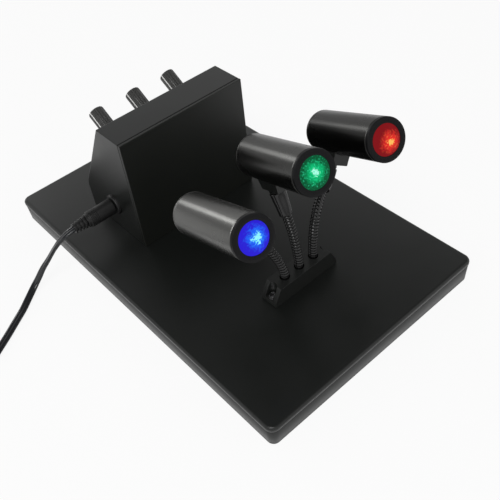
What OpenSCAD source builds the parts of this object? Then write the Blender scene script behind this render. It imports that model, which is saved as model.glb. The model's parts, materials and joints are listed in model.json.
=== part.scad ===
// Optics ray box: three coloured lamps on goosenecks, dimmed from a console on a moulded base.
// Millimetres. The origin is the centre of the underside, +Y runs to the console, +Z is up.

/* [Base] */
// Length of the base, lamps to console
base_length = 280.5; // [270:0.5:320]
// Width of the base
base_width = 178.6; // [170:0.2:200]
// Height of the deck above the table
deck_height = 19; // [18:0.5:26]
// Plan radius of the base's corners
base_corner = 5.5; // [5:0.5:10]
// Wall of the base moulding
base_wall = 2.5; // [2:0.1:3.5]
// Thickness of the deck
deck_sheet = 3; // [2.4:0.1:3.6]
// Bevel round the edge of the deck
lip_bevel = 1.4; // [1:0.1:2.2]
// Upright band below the bevel
lip_band = 2.4; // [1.2:0.1:3]
// Height of the shadow groove below the lip
groove_height = 0.7; // [0.4:0.1:1.2]
// Depth of the shadow groove
groove_depth = 0.8; // [0.4:0.1:1.2]
// How far the skirt draws in towards its foot
skirt_draft = 0.6; // [0.4:0.1:1.4]
// Gap between the skirt and the table
skirt_lift = 1.2; // [0.6:0.1:1.4]
// Thickness of the bottom cover
cover_sheet = 2; // [1.6:0.1:2.6]
// Radius of a rubber foot
foot_radius = 7; // [5:0.5:9]
// Height of a rubber foot
foot_height = 2.2; // [1.9:0.1:2.6]

/* [Console] */
// Width of the console, across its front
console_width = 98.6; // [95:0.2:110]
// Height of the console above the deck
console_height = 86.4; // [84:0.2:96]
// Depth of the console at its foot
console_depth = 66; // [64:0.5:74]
// Depth of the console's level top
console_top = 26.6; // [25:0.2:30]
// Lean of the knob face, from upright
slope = 31.5; // [30:0.5:34]
// Radius of the knee under the knob face
knee_radius = 18; // [10:1:24]
// Wall of the console moulding
console_wall = 2.2; // [1.8:0.1:2.8]
// Distance of the console's front face from the middle of the base
console_front = 25.8; // [16:0.2:30]
// Sideways place of the console's middle
console_side = -3.5; // [-8:0.5:8]
// Thickness of the front cover
front_sheet = 2; // [1.6:0.1:2.6]
// Shadow gap between the front cover and the shell
front_gap = 0.4; // [0.2:0.1:0.8]

/* [Knobs] */
// Distance between two knobs
knob_pitch = 30.2; // [24:0.2:31.4]
// Distance of the knobs down the slope from the top edge
knob_drop = 28; // [22:0.5:32]
// Radius of a knob over its flutes
knob_radius = 5.6; // [5.3:0.1:7.5]
// Height of a knob
knob_height = 20.6; // [16:0.2:22]
// Number of flutes round a knob
knob_flutes = 18; // [12:1:24]
// Radius of a potentiometer's shaft
shaft_radius = 3; // [2.5:0.1:3]
// Radius of a potentiometer's body
pot_radius = 8.2; // [7:0.1:10]

/* [Lamp] */
// Outer radius of a lamp tube
tube_radius = 13; // [12:0.25:14.5]
// Wall of a lamp tube
tube_wall = 1.5; // [1.2:0.1:2]
// Length of a lamp from its rear cap to its front ring
lamp_length = 67.3; // [64:0.1:80]
// Length of the front ring
bezel_length = 2.2; // [2:0.1:4]
// Radius of the opening in the front ring
aperture_radius = 9.3; // [7:0.1:9.5]
// Distance of the neck socket from the rear of the lamp
socket_place = 12; // [11:0.5:14]
// Depth of the saddle below the tube
saddle_depth = 6.75; // [6.5:0.25:8]

/* [Goosenecks] */
// Radius of a gooseneck over its ribs
neck_radius = 3; // [2.4:0.1:3.1]
// Distance between two ribs
rib_pitch = 2; // [1.5:0.1:2.4]
// Height of a rib
rib_height = 0.45; // [0.2:0.05:0.6]
// Length of the smooth boot at the lamp's end of a gooseneck
boot_length = 16; // [10:0.5:18]
// Radius of the boot at the lamp
boot_radius = 5.2; // [4.5:0.1:5.5]
// Radius of the bore that carries the lead
neck_bore = 1.5; // [1.3:0.1:1.6]
// Radius of a lamp's lead
lead_radius = 0.9; // [0.6:0.1:1]
// Distance between two goosenecks at the bracket
neck_pitch = 12.5; // [11:0.25:13]
// Roll of the blue lamp about its own axis
blue_roll = 47; // [35:1:60]
// Roll of the green lamp about its own axis
green_roll = 5; // [-10:1:15]
// Roll of the red lamp about its own axis
red_roll = -26; // [-35:1:-10]

/* [Lamp places] */
// Rear of the blue lamp from the bracket's top
blue_rear = [-47, 37, 54]; // [-80:0.5:80]
// Heading and upward tilt of the blue lamp
blue_aim = [-94.5, 22]; // [-120:0.5:40]
// Rear of the green lamp from the bracket's top
green_rear = [4, 38.5, 66]; // [-80:0.5:80]
// Heading and upward tilt of the green lamp
green_aim = [-99, 22.5]; // [-120:0.5:40]
// Rear of the red lamp from the bracket's top
red_rear = [59, 34.5, 55.5]; // [-80:0.5:80]
// Heading and upward tilt of the red lamp
red_aim = [-100.5, 25]; // [-120:0.5:40]

/* [Bracket] */
// Length of the bracket's foot
bracket_foot = 54; // [52:0.5:60]
// Length of the bracket's top
bracket_top = 44; // [40:0.5:46]
// Depth of the bracket, front to rear
bracket_depth = 13; // [12:0.5:16]
// Height of the bracket
bracket_height = 13; // [12:0.5:16]
// Distance of the bracket in front of the middle of the base
bracket_place = 72.5; // [66:0.5:80]
// Sideways place of the bracket's middle
bracket_side = -0.8; // [-8:0.2:8]
// Radius of the pocket round each bracket screw
pocket_radius = 3.4; // [3.2:0.1:3.8]
// Thickness of the flange under each bracket screw
flange = 3; // [2.4:0.1:4]

/* [Power lead] */
// Height of the power socket above the table
jack_height = 41; // [38:0.5:46]
// Distance of the power socket behind the console's front
jack_depth = 30.2; // [26:0.2:34]
// Radius of the socket's outer flange
jack_flange = 7.5; // [7:0.1:8.5]
// Width of the twin lead
cord_width = 5.4; // [4.8:0.1:5.6]
// Thickness of the twin lead
cord_thick = 2.7; // [2.4:0.1:2.8]

/* [Hidden] */

// Colours of the finishes
moulding = [0.10, 0.10, 0.105];
panel = [0.05, 0.05, 0.055];
anodised = [0.20, 0.20, 0.20];
rubber = [0.07, 0.07, 0.07];
steel = [0.72, 0.72, 0.74];
board_green = [0.05, 0.30, 0.16];
copper = [0.72, 0.45, 0.25];
lens_blue = [0.10, 0.20, 1.0];
lens_green = [0.05, 0.75, 0.40];
lens_red = [0.95, 0.12, 0.10];

// Overlap that joins two shapes of one piece
bite = 0.5;
// Clearance between two pieces that are fitted together
fit = 0.15;
// Running clearance of a shaft in its bore
running = 0.05;
// Clearance round a bent tube or lead
slack = 0.3;
// Facets of a shape that is blended by hull
soft = 32;
// Facets of a true round
$fn = 48;

// Small fasteners: shank radius, head radius and head height
screw_shank = 1.3;
screw_head = 2.9;
screw_head_height = 1.4;
cross_width = 0.7;
cross_depth = 0.8;

// Base
lip_z = deck_height - lip_bevel - lip_band;
groove_z = lip_z - groove_height;
ceiling_z = deck_height - deck_sheet;
cavity_width = base_width - 2 * (base_wall + skirt_draft);
cavity_length = base_length - 2 * (base_wall + skirt_draft);
foot_pocket = 0.6;
cover_z = foot_height - foot_pocket;
cover_top_z = cover_z + cover_sheet;
boss_radius = 4;
boss_inset = 7;
foot_inset = 22;
cover_fixings = [
  for (x = [-1, 1], y = [-1, 0, 1]) [x * (cavity_width / 2 - boss_inset), y * (cavity_length / 2 - boss_inset)]
];
foot_places = [
  for (x = [-1, 1], y = [-1, 1]) [x * (base_width / 2 - foot_inset), y * (base_length / 2 - foot_inset)]
];
rib_x = 54;
rib_drop = 4;
rib_thick = 1.6;

// Console
shell_front = front_sheet + front_gap;
console_half = console_width / 2 - console_wall;
register_depth = 3;
register_thick = 1.5;
peg_radius = 2;
peg_length = 9;
peg_inset = 4;
post_side = 7;
post_depth = 12;
fix_height = 14;
fix_inset = boss_radius + 0.4;
fix_front = shell_front + register_depth + boss_radius + 1;
fix_rear = console_depth - console_wall - fix_inset - 2;
console_fixings = [
  for (x = [-1, 1], u = [fix_front, fix_rear]) [console_side + x * (console_half - fix_inset), console_front + u]
];
wire_hole = 6;
wire_hole_place = [console_side, console_front + 14];

// Board on four posts above the deck
board_size = [70, 34, 1.6];
board_lift = 8;
board_place = [console_side, console_front + 38];
board_post = 3;
board_inset = 3.5;
board_top_z = deck_height + board_lift + board_size[2];
board_fixings = [
  for (x = [-1, 1], y = [-1, 1])
    [board_place[0] + x * (board_size[0] / 2 - board_inset), board_place[1] + y * (board_size[1] / 2 - board_inset)]
];

// Potentiometers and knobs, measured outwards from the slope
bushing_radius = 3.5;
bushing_length = 5;
pot_depth = 8;
tag_z = -4.2;
tag_reach = 9;
washer_height = 0.6;
washer_radius = 6;
nut_height = 2;
nut_flats = 10;
knob_lift = washer_height + nut_height + 0.4;
knob_skirt_depth = bushing_length - knob_lift + 0.6;
knob_floor = 2.4;
flute_radius = 0.55;
knob_offsets = [-knob_pitch, 0, knob_pitch];

// Power socket and plug, measured outwards from the console's side
jack_barrel = 5.5;
jack_flange_height = 2.2;
jack_length = 13;
jack_bore = 2.85;
jack_pin = 1;
plug_sleeve = jack_bore - 0.1;
plug_start = jack_flange_height + 0.6;
plug_body = 5.8;
plug_body_end = plug_start + 19.4;
relief_start = plug_body_end + 2;
relief_pitch = 2.5;
relief_flanges = 4;
relief_end = relief_start + relief_pitch * relief_flanges;

// Lamp, measured from its rear end along its axis
inner_radius = tube_radius - tube_wall;
rear_cap_rim = 2;
rear_cap_plug = 4;
bezel_z = lamp_length - bezel_length;
seam = 0.3;
spigot_length = 4;
spigot_wall = 1.2;
lens_radius = inner_radius - spigot_wall - fit;
lens_edge = 1.6;
bezel_lip = 0.6;
lens_z = lamp_length - bezel_lip - lens_edge;
lens_step = 0.4;
lens_dome = 1.8;
sink_z = 24;
sink_length = 12;
led_z = sink_z + sink_length;
star_radius = 9.8;
star_height = 1.6;
led_radius = 3.9;
led_height = 2.4;
dome_radius = 2.6;
socket_depth = tube_radius + 3;
socket_reach = 6.4;
socket_wall = 1.5;
socket_bore = neck_radius + slack;
saddle_low = tube_radius + saddle_depth;
saddle_width = 11;
saddle_rear = 3;
saddle_front = 26;
saddle_rear_low = 5;
saddle_front_low = 24;
clip_screw_z = 20;
clip_shank = 0.9;
clip_head = 1.6;
clip_seat = saddle_low - 3.5;
wire_hole_radius = lead_radius + slack + 0.2;
lead_x = inner_radius - 4.5;
lead_drop = 5;

// Goosenecks: places, socket leans and the two handles of each curve
bracket_z = deck_height + bracket_height;
bracket_centre = [bracket_side, -bracket_place, bracket_z];
NAMES = ["blue", "green", "red"];
lamp_rear = [for (p = [blue_rear, green_rear, red_rear]) bracket_centre + p];
lamp_aim = [blue_aim, green_aim, red_aim];
lamp_roll = [blue_roll, green_roll, red_roll];
neck_rise = [16, 23, 45];
neck_reach = [14, 6, 14];
boot_flare = 1.1;
boot_rings = 8;
neck_sides = 8;
neck_end = 2 * neck_radius;
curve_steps = 48;

// Bracket
bracket_screw_x = bracket_foot / 2 - pocket_radius;

// The free stretch of the lead, from the plug's tail to the coil, then from the coil to the adapter
jack_y = console_front + jack_depth;
lead_route = [
  [-87, 56, 41], [-91, 56.5, 40], [-95, 57.5, 38], [-98.5, 59, 35], [-101.5, 60.5, 31.5], [-104, 62, 28],
  [-109, 64.5, 21], [-114, 66, 15.5], [-119.5, 66, 10], [-125, 65, 6], [-133.5, 60.5, 3], [-140, 56, 2],
  [-148, 50.5, 2], [-159, 43, 2], [-170, 36, 2], [-181, 29, 2], [-191, 23, 2], [-202, 18, 2], [-213, 16, 2]
];
coil_centre = [-213, 53.5];
coil_radius = 37.5;
coil_low = 2;
coil_gap = 0.6;
turns_in = 2.5;
climb = 0.5;
turns_out = 2.25;
tail_steps = [[0, 0, 0], [0, 10, 0.2], [0, 20, 1.4], [0, 30, 2.6]];
lead_sides = 8;
coil_sides = 6;
coil_rings = 24;
tie_width = 8;
tie_thick = 0.5;
tie_turn = 0.125;
adapter_size = [34, 44, 27];
adapter_relief = 8;
adapter_corner = 4;
blade_size = [6.3, 16, 1.5];
blade_pitch = 12.7;

// Vector helpers
function unit(v) = v / norm(v);
function side_of(t, ref) = unit(cross(t, ref));

// Ring of n points, half-widths a and b, round the point p on a path that heads along t
function ring(p, t, a, b, n, ref) =
  let (s = side_of(t, ref), u = cross(t, s))
  [for (k = [0:n - 1]) p + a * cos(360 * k / n) * s + b * sin(360 * k / n) * u];

// Triangles of the wall between rings i and i + 1, seen from outside or from inside
function wall_faces(i, n, from, outside) = [
  for (k = [0:n - 1])
    let (a = from + i * n + k, b = from + i * n + (k + 1) % n, c = b + n, d = a + n)
    each (outside ? [[a, d, c], [a, c, b]] : [[a, c, d], [a, b, c]])
];

// Closed tube through a list of rings
module solid_tube(rings, n) {
  last = (len(rings) - 1) * n;
  foot = [for (k = [1:n - 2]) [0, k, k + 1]];
  head = [for (k = [1:n - 2]) [last, last + k + 1, last + k]];
  walls = [for (i = [0:len(rings) - 2]) each wall_faces(i, n, 0, true)];
  polyhedron(points = [for (r = rings) each r], faces = concat(foot, head, walls), convexity = 10);
}

// Tube with a bore: one list of rings outside and one inside
module bored_tube(outer, inner, n) {
  from = len(outer) * n;
  last = from - n;
  inner_last = from + (len(inner) - 1) * n;
  foot = [
    for (k = [0:n - 1])
      let (m = (k + 1) % n) each [[k, m, from + m], [k, from + m, from + k]]
  ];
  head = [
    for (k = [0:n - 1])
      let (m = (k + 1) % n)
      each [[last + k, inner_last + m, last + m], [last + k, inner_last + k, inner_last + m]]
  ];
  walls = [for (i = [0:len(outer) - 2]) each wall_faces(i, n, 0, true)];
  bore = [for (i = [0:len(inner) - 2]) each wall_faces(i, n, from, false)];
  polyhedron(
    points = concat([for (r = outer) each r], [for (r = inner) each r]),
    faces = concat(foot, head, walls, bore),
    convexity = 10
  );
}

// Heading of a route at its point i
function heading(path, i) = unit(path[min(i + 1, len(path) - 1)] - path[max(i - 1, 0)]);

// The same, with the headings of its two ends given
function led_heading(path, i, first, last) =
  i == 0 ? first : i == len(path) - 1 ? last : heading(path, i);

// Round tube swept along a list of points
module wire(path, radius, n = 6, ref = [0.1, 0.3, 0.95]) {
  rings = [for (i = [0:len(path) - 1]) ring(path[i], heading(path, i), radius, radius, n, ref)];
  solid_tube(rings, n);
}

// Directions of a lamp: down through its saddle, sideways, and forwards along its beam
function lamp_drop(i) =
  let (az = lamp_aim[i][0], el = lamp_aim[i][1]) [sin(el) * cos(az), sin(el) * sin(az), -cos(el)];
function lamp_across(i) = let (az = lamp_aim[i][0]) [-sin(az), cos(az), 0];
function lamp_down(i) = cos(lamp_roll[i]) * lamp_drop(i) + sin(lamp_roll[i]) * lamp_across(i);
function lamp_side(i) = cos(lamp_roll[i]) * lamp_across(i) - sin(lamp_roll[i]) * lamp_drop(i);
function lamp_ahead(i) =
  let (az = lamp_aim[i][0], el = lamp_aim[i][1]) [cos(el) * cos(az), cos(el) * sin(az), sin(el)];
function lamp_point(i, p) = lamp_rear[i] + p[0] * lamp_down(i) + p[1] * lamp_side(i) + p[2] * lamp_ahead(i);

// Places children in a lamp's own frame: +X down, +Y sideways, +Z along the beam
module in_lamp(i) {
  translate(lamp_rear[i]) rotate([0, 90 - lamp_aim[i][1], lamp_aim[i][0]])
    rotate([0, 0, lamp_roll[i]]) children();
}

// Gooseneck curve: its four control points, its length table, and its point and heading at a length
function neck_mouth(i) = lamp_point(i, [socket_depth + socket_reach, 0, socket_place]);
function neck_foot(i) = bracket_centre + [(i - 1) * neck_pitch, 0, 0];
function neck_handles(i) = [
  neck_foot(i), neck_foot(i) + [0, 0, neck_rise[i]],
  neck_mouth(i) + neck_reach[i] * lamp_down(i), neck_mouth(i)
];
function bezier(p, t) =
  pow(1 - t, 3) * p[0] + 3 * pow(1 - t, 2) * t * p[1] + 3 * (1 - t) * t * t * p[2] + pow(t, 3) * p[3];
function bezier_heading(p, t) =
  unit(pow(1 - t, 2) * (p[1] - p[0]) + 2 * (1 - t) * t * (p[2] - p[1]) + t * t * (p[3] - p[2]));
function lengths(p, k = 0, sum = 0) =
  let (t = k / curve_steps, step = k == 0 ? 0 : norm(bezier(p, t) - bezier(p, t - 1 / curve_steps)))
  k > curve_steps ? [] : concat([[sum + step, t]], lengths(p, k + 1, sum + step));
function neck_length(table) = table[curve_steps][0];
function neck_point(p, table, s) =
  s <= 0 ? p[0] + [0, 0, s]
  : s >= neck_length(table) ? p[3] + (s - neck_length(table)) * bezier_heading(p, 1)
  : bezier(p, lookup(s, table));
function neck_heading(p, table, s) =
  s <= 0 ? [0, 0, 1]
  : s >= neck_length(table) ? bezier_heading(p, 1)
  : bezier_heading(p, lookup(s, table));

// Slab with rounded corners, drawn in by its own amount at its foot and at its top
module slab(w, l, h, r, foot_in, top_in) {
  hull()
    for (x = [-1, 1], y = [-1, 1])
      translate([x * (w / 2 - r), y * (l / 2 - r), 0])
        cylinder(h = h, r1 = r - foot_in, r2 = r - top_in, $fn = soft);
}

// Pan head screw, pointing down from the origin at the seat of its head
module pan_screw(length, shank = screw_shank, head = screw_head, height = screw_head_height) {
  difference() {
    union() {
      cylinder(h = height, r1 = head, r2 = head * 0.8);
      translate([0, 0, -length]) cylinder(h = length + bite, r = shank);
    }
    translate([0, 0, height - cross_depth / 2]) {
      cube([cross_width, head, cross_depth + bite], center = true);
      cube([head, cross_width, cross_depth + bite], center = true);
    }
  }
}

// Base moulding with its bevelled lip, shadow groove, bosses, ribs and holes
module base_shell() {
  skirt_step = 0.3;
  color(moulding) difference() {
    union() {
      difference() {
        union() {
          translate([0, 0, skirt_lift])
            slab(base_width, base_length, groove_z - skirt_lift, base_corner, skirt_draft + skirt_step, skirt_step);
          translate([0, 0, groove_z - bite])
            slab(base_width, base_length, groove_height + 2 * bite, base_corner, groove_depth, groove_depth);
          translate([0, 0, lip_z]) slab(base_width, base_length, lip_band, base_corner, 0, 0);
          translate([0, 0, deck_height - lip_bevel])
            slab(base_width, base_length, lip_bevel, base_corner, 0, lip_bevel);
        }
        translate([-cavity_width / 2, -cavity_length / 2, 0]) cube([cavity_width, cavity_length, ceiling_z]);
      }
      for (p = cover_fixings)
        translate([p[0], p[1], cover_top_z]) cylinder(h = ceiling_z - cover_top_z + bite, r = boss_radius);
      for (x = [-rib_x, rib_x])
        translate([x - rib_thick / 2, -cavity_length / 2 + 20, ceiling_z - rib_drop])
          cube([rib_thick, cavity_length - 40, rib_drop + bite]);
      for (x = [-1, 1])
        translate([bracket_side + x * bracket_screw_x, -bracket_place, ceiling_z - 6])
          cylinder(h = 6 + bite, r = boss_radius);
      for (p = board_fixings)
        translate([p[0], p[1], deck_height - bite]) cylinder(h = board_lift + bite, r = board_post);
    }
    for (p = cover_fixings)
      translate([p[0], p[1], cover_top_z - bite]) cylinder(h = 9 + bite, r = screw_shank + running);
    for (p = console_fixings)
      translate([p[0], p[1], ceiling_z - bite]) cylinder(h = deck_sheet + 2 * bite, r = screw_shank + fit);
    for (x = [-1, 1])
      translate([bracket_side + x * bracket_screw_x, -bracket_place, ceiling_z - 5])
        cylinder(h = deck_sheet + 5 + bite, r = screw_shank + running);
    for (p = board_fixings)
      translate([p[0], p[1], deck_height + 1]) cylinder(h = board_lift, r = screw_shank + running);
    for (i = [0:2])
      translate([neck_foot(i)[0], neck_foot(i)[1], ceiling_z - bite])
        cylinder(h = deck_sheet + 2 * bite, r = wire_hole_radius);
    translate([wire_hole_place[0], wire_hole_place[1], ceiling_z - bite])
      cylinder(h = deck_sheet + 2 * bite, r = wire_hole);
  }
}

// Flat plate that closes the underside, with pockets for its screws and feet
module bottom_cover() {
  w = cavity_width - 2 * fit;
  l = cavity_length - 2 * fit;
  color(panel) difference() {
    translate([-w / 2, -l / 2, cover_z]) cube([w, l, cover_sheet]);
    for (p = cover_fixings)
      translate([p[0], p[1], cover_z - bite]) {
        cylinder(h = cover_sheet + 2 * bite, r = screw_shank + fit);
        cylinder(h = cover_sheet - 0.9 + bite, r = screw_head + fit);
      }
    for (p = foot_places)
      translate([p[0], p[1], cover_z - bite]) cylinder(h = foot_pocket + bite, r = foot_radius + fit);
  }
}

module cover_screws() {
  seat = cover_sheet - 0.9;
  color(steel)
    for (p = cover_fixings)
      translate([p[0], p[1], cover_z + seat]) mirror([0, 0, 1]) pan_screw(8, height = seat - 0.2);
}

module rubber_feet() {
  chamfer = 0.5;
  color(rubber)
    for (p = foot_places)
      translate([p[0], p[1], 0]) {
        cylinder(h = chamfer, r1 = foot_radius - chamfer, r2 = foot_radius);
        translate([0, 0, chamfer]) cylinder(h = foot_height - chamfer, r = foot_radius);
      }
}

// Side outline of the console, moved in by t, from a front line and down to a foot line
function slope_u(v, t) = console_top + (-t - (v - console_height) * sin(slope)) / cos(slope);
function slope_v(u, t) = console_height + (-t - (u - console_top) * cos(slope)) / sin(slope);
module console_outline(t, front, foot) {
  rear = console_depth - t;
  roof = console_height - t;
  knee = [rear, slope_v(rear, t)];
  radius = knee_radius - t;
  cut = radius * tan(slope / 2);
  low = knee - [0, cut];
  high = knee + cut * [-sin(slope), cos(slope)];
  polygon([[front, foot], [front, roof], [slope_u(roof, t), roof], high, low, [rear, foot]]);
  intersection() {
    translate(low - [radius, 0]) circle(r = radius);
    translate([front, foot]) square([console_depth, console_height]);
  }
}
module console_block(t, front, foot) {
  w = console_width - 2 * t;
  translate([console_side - w / 2, console_front, deck_height])
    rotate([90, 0, 90]) linear_extrude(w) console_outline(t, front, foot);
}

// Places children on the knob face, +Y pointing down the slope and +Z out of it
knob_u = console_top + knob_drop * sin(slope);
knob_v = console_height - knob_drop * cos(slope);
module on_slope(offset) {
  translate([console_side + offset, console_front + knob_u, deck_height + knob_v])
    rotate([slope - 90, 0, 0]) children();
}
function slope_point(offset, y, z) = [
  console_side + offset,
  console_front + knob_u + y * sin(slope) + z * cos(slope),
  deck_height + knob_v - y * cos(slope) + z * sin(slope)
];

// Places children at the power socket, +Z pointing out of the console's side
module at_jack() {
  translate([console_side - console_width / 2, jack_y, jack_height]) rotate([0, -90, 0]) children();
}

// Middle of each corner post that takes a peg of the front cover
peg_places = [
  for (x = [-1, 1], v = [fix_height + post_side / 2 + 1, console_height - console_wall - peg_inset])
    [console_side + x * (console_half - peg_inset), deck_height + v]
];

module console_shell() {
  post_start = shell_front + register_depth;
  color(moulding) difference() {
    union() {
      difference() {
        console_block(0, shell_front, 0);
        console_block(console_wall, 0, -bite);
      }
      intersection() {
        console_block(console_wall / 2, 0, 0);
        union() {
          for (p = peg_places)
            translate([p[0] - post_side / 2, console_front + post_start, p[1] - post_side / 2])
              cube([post_side, post_depth, post_side]);
          for (x = [-1, 1], p = peg_places)
            translate([console_side + x * (console_half - 0.5) - 1, console_front + post_start, p[1] - post_side / 2])
              cube([2, post_depth, post_side]);
          for (p = console_fixings)
            translate([p[0], p[1], deck_height]) {
              cylinder(h = fix_height, r = boss_radius);
              dir = p[0] > console_side ? 0 : -1;
              translate([dir * (fix_inset + 1), -boss_radius / 2, 0])
                cube([fix_inset + 1, boss_radius, fix_height]);
            }
        }
      }
    }
    for (p = peg_places)
      translate([p[0], console_front + post_start - bite, p[1]])
        rotate([-90, 0, 0]) cylinder(h = peg_length, r = peg_radius + running);
    for (p = console_fixings)
      translate([p[0], p[1], deck_height - bite]) cylinder(h = fix_height - 2, r = screw_shank + running);
    for (offset = knob_offsets)
      on_slope(offset) translate([0, 0, -console_wall - bite])
        cylinder(h = console_wall + 2 * bite, r = bushing_radius + fit);
    at_jack() translate([0, 0, -console_wall - bite])
      cylinder(h = console_wall + 2 * bite, r = jack_barrel + fit);
  }
}

// Flat front with a register frame inside the shell and four pegs in its corner posts
module front_cover() {
  w = console_width;
  frame_w = 2 * (console_half - fit);
  frame_h = console_height - console_wall - fit;
  color(panel) {
    difference() {
      union() {
        translate([console_side - w / 2, console_front, deck_height]) cube([w, front_sheet, console_height]);
        translate([console_side - frame_w / 2, console_front + front_sheet - bite, deck_height])
          cube([frame_w, register_depth + front_gap + bite, frame_h]);
      }
      translate([console_side - frame_w / 2 + register_thick, console_front + front_sheet, deck_height + register_thick])
        cube([frame_w - 2 * register_thick, register_depth + front_gap + bite, frame_h - 2 * register_thick]);
    }
    for (p = peg_places)
      translate([p[0], console_front + front_sheet - bite, p[1]])
        rotate([-90, 0, 0]) cylinder(h = register_depth + front_gap + peg_length - 1, r = peg_radius);
  }
}

module console_screws() {
  color(steel)
    for (p = console_fixings)
      translate([p[0], p[1], ceiling_z]) mirror([0, 0, 1]) pan_screw(deck_sheet + fix_height - 4);
}

module circuit_board() {
  color(board_green) difference() {
    translate([board_place[0] - board_size[0] / 2, board_place[1] - board_size[1] / 2, deck_height + board_lift])
      cube(board_size);
    for (p = board_fixings)
      translate([p[0], p[1], deck_height]) cylinder(h = 2 * board_lift, r = screw_shank + fit);
  }
}

module board_screws() {
  color(steel)
    for (p = board_fixings) translate([p[0], p[1], board_top_z]) pan_screw(board_size[2] + board_lift - 2);
}

// Components seated on the board: capacitors, driver coils, chips and terminal blocks
module board_parts() {
  module at(x, y) {
    translate([board_place[0] + x, board_place[1] + y, board_top_z]) children();
  }
  color([0.16, 0.20, 0.45])
    for (x = [-26, 26]) at(x, 2) cylinder(h = 11, r = 3.2);
  color([0.25, 0.25, 0.25])
    for (x = [-13, 0, 13]) at(x, 3) difference() {
      cylinder(h = 5, r = 4.2);
      translate([0, 0, 1.5]) cylinder(h = 4, r = 1.6);
    }
  color([0.06, 0.06, 0.06])
    for (x = [-13, 0, 13]) at(x - 2.5, -6) cube([5, 4, 1.6]);
  color([0.10, 0.35, 0.20])
    for (x = [-18, -5, 8]) at(x, -15) difference() {
      cube([10, 7, 7]);
      for (s = [2.5, 7.5]) translate([s, 3.5, 2]) cylinder(h = 6, r = 1.4);
    }
  color([0.10, 0.35, 0.20])
    at(-5, 9) difference() {
      cube([10, 7, 7]);
      for (s = [2.5, 7.5]) translate([s, 3.5, 2]) cylinder(h = 6, r = 1.4);
    }
}

// Panel socket for the power plug, with its centre pin and rear tags
module dc_jack() {
  color(rubber) at_jack() {
    difference() {
      union() {
        cylinder(h = jack_flange_height, r = jack_flange);
        translate([0, 0, -jack_length]) cylinder(h = jack_length + bite, r = jack_barrel);
      }
      translate([0, 0, -jack_length + 3]) cylinder(h = jack_length + jack_flange_height, r = jack_bore);
    }
    translate([0, 0, -jack_length]) cylinder(h = jack_length, r = jack_pin);
    for (y = [-3.5, 0.5]) translate([-0.4, y, -jack_length - 5]) cube([0.8, 3, 5 + bite]);
  }
}

module jack_nut() {
  height = 2.4;
  color(steel) at_jack() translate([0, 0, -console_wall - height]) difference() {
    cylinder(h = height, r = 15 / 2 / cos(30), $fn = 6);
    translate([0, 0, -bite]) cylinder(h = height + 2 * bite, r = jack_barrel + running);
  }
}

// Three potentiometer bodies with their threaded bushings and solder tags
module potentiometers() {
  color([0.45, 0.45, 0.47])
    for (offset = knob_offsets)
      on_slope(offset) translate([0, 0, -console_wall]) {
        difference() {
          union() {
            translate([0, 0, -pot_depth]) cylinder(h = pot_depth, r = pot_radius);
            translate([0, 0, -bite]) cylinder(h = console_wall + bushing_length + bite, r = bushing_radius);
            translate([-6, pot_radius - 1, tag_z - 0.8]) cube([12, 6, 1.6]);
          }
          translate([0, 0, -pot_depth + 2])
            cylinder(h = pot_depth + console_wall + bushing_length, r = shaft_radius + running);
        }
        for (x = [-5, 0, 5])
          translate([x - 0.6, pot_radius + 4, tag_z - 0.4]) cube([1.2, tag_reach - 4, 0.8]);
      }
}

// A washer and a hexagon nut on each bushing
module pot_nuts() {
  color(steel)
    for (offset = knob_offsets)
      on_slope(offset) {
        difference() {
          cylinder(h = washer_height, r = washer_radius);
          translate([0, 0, -bite]) cylinder(h = washer_height + 2 * bite, r = bushing_radius + running);
        }
        translate([0, 0, washer_height]) difference() {
          cylinder(h = nut_height, r = nut_flats / 2 / cos(30), $fn = 6);
          translate([0, 0, -bite]) cylinder(h = nut_height + 2 * bite, r = bushing_radius + running);
        }
      }
}

// Fluted knob with a hollow that clears the bushing and a blind bore for the shaft
module knob(i) {
  crown = 0.8;
  color(moulding) on_slope(knob_offsets[i]) translate([0, 0, knob_lift]) difference() {
    union() {
      cylinder(h = knob_height - crown, r = knob_radius);
      translate([0, 0, knob_height - crown])
        cylinder(h = crown, r1 = knob_radius, r2 = knob_radius - crown);
    }
    for (k = [0:knob_flutes - 1])
      rotate(360 * (k + 0.5) / knob_flutes) translate([knob_radius + flute_radius * 0.35, 0, -bite])
        cylinder(h = knob_height + 2 * bite, r = flute_radius, $fn = 16);
    translate([0, 0, -bite]) cylinder(h = knob_skirt_depth + bite, r = bushing_radius + slack);
    translate([0, 0, -bite]) cylinder(h = knob_height - knob_floor + bite, r = shaft_radius + running);
  }
}
module knob_1() knob(0);
module knob_2() knob(1);
module knob_3() knob(2);

// Turned shaft from inside the potentiometer to the roof of the knob's bore
module knob_shaft(i) {
  foot = -console_wall - pot_depth + 2 + running;
  head = knob_lift + knob_height - knob_floor - running;
  color(steel) on_slope(knob_offsets[i]) translate([0, 0, foot]) difference() {
    cylinder(h = head - foot, r = shaft_radius);
    translate([-shaft_radius, -0.5, head - foot - 7]) cube([2 * shaft_radius, 1, 7 + bite]);
  }
}
module knob_shaft_1() knob_shaft(0);
module knob_shaft_2() knob_shaft(1);
module knob_shaft_3() knob_shaft(2);

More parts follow.
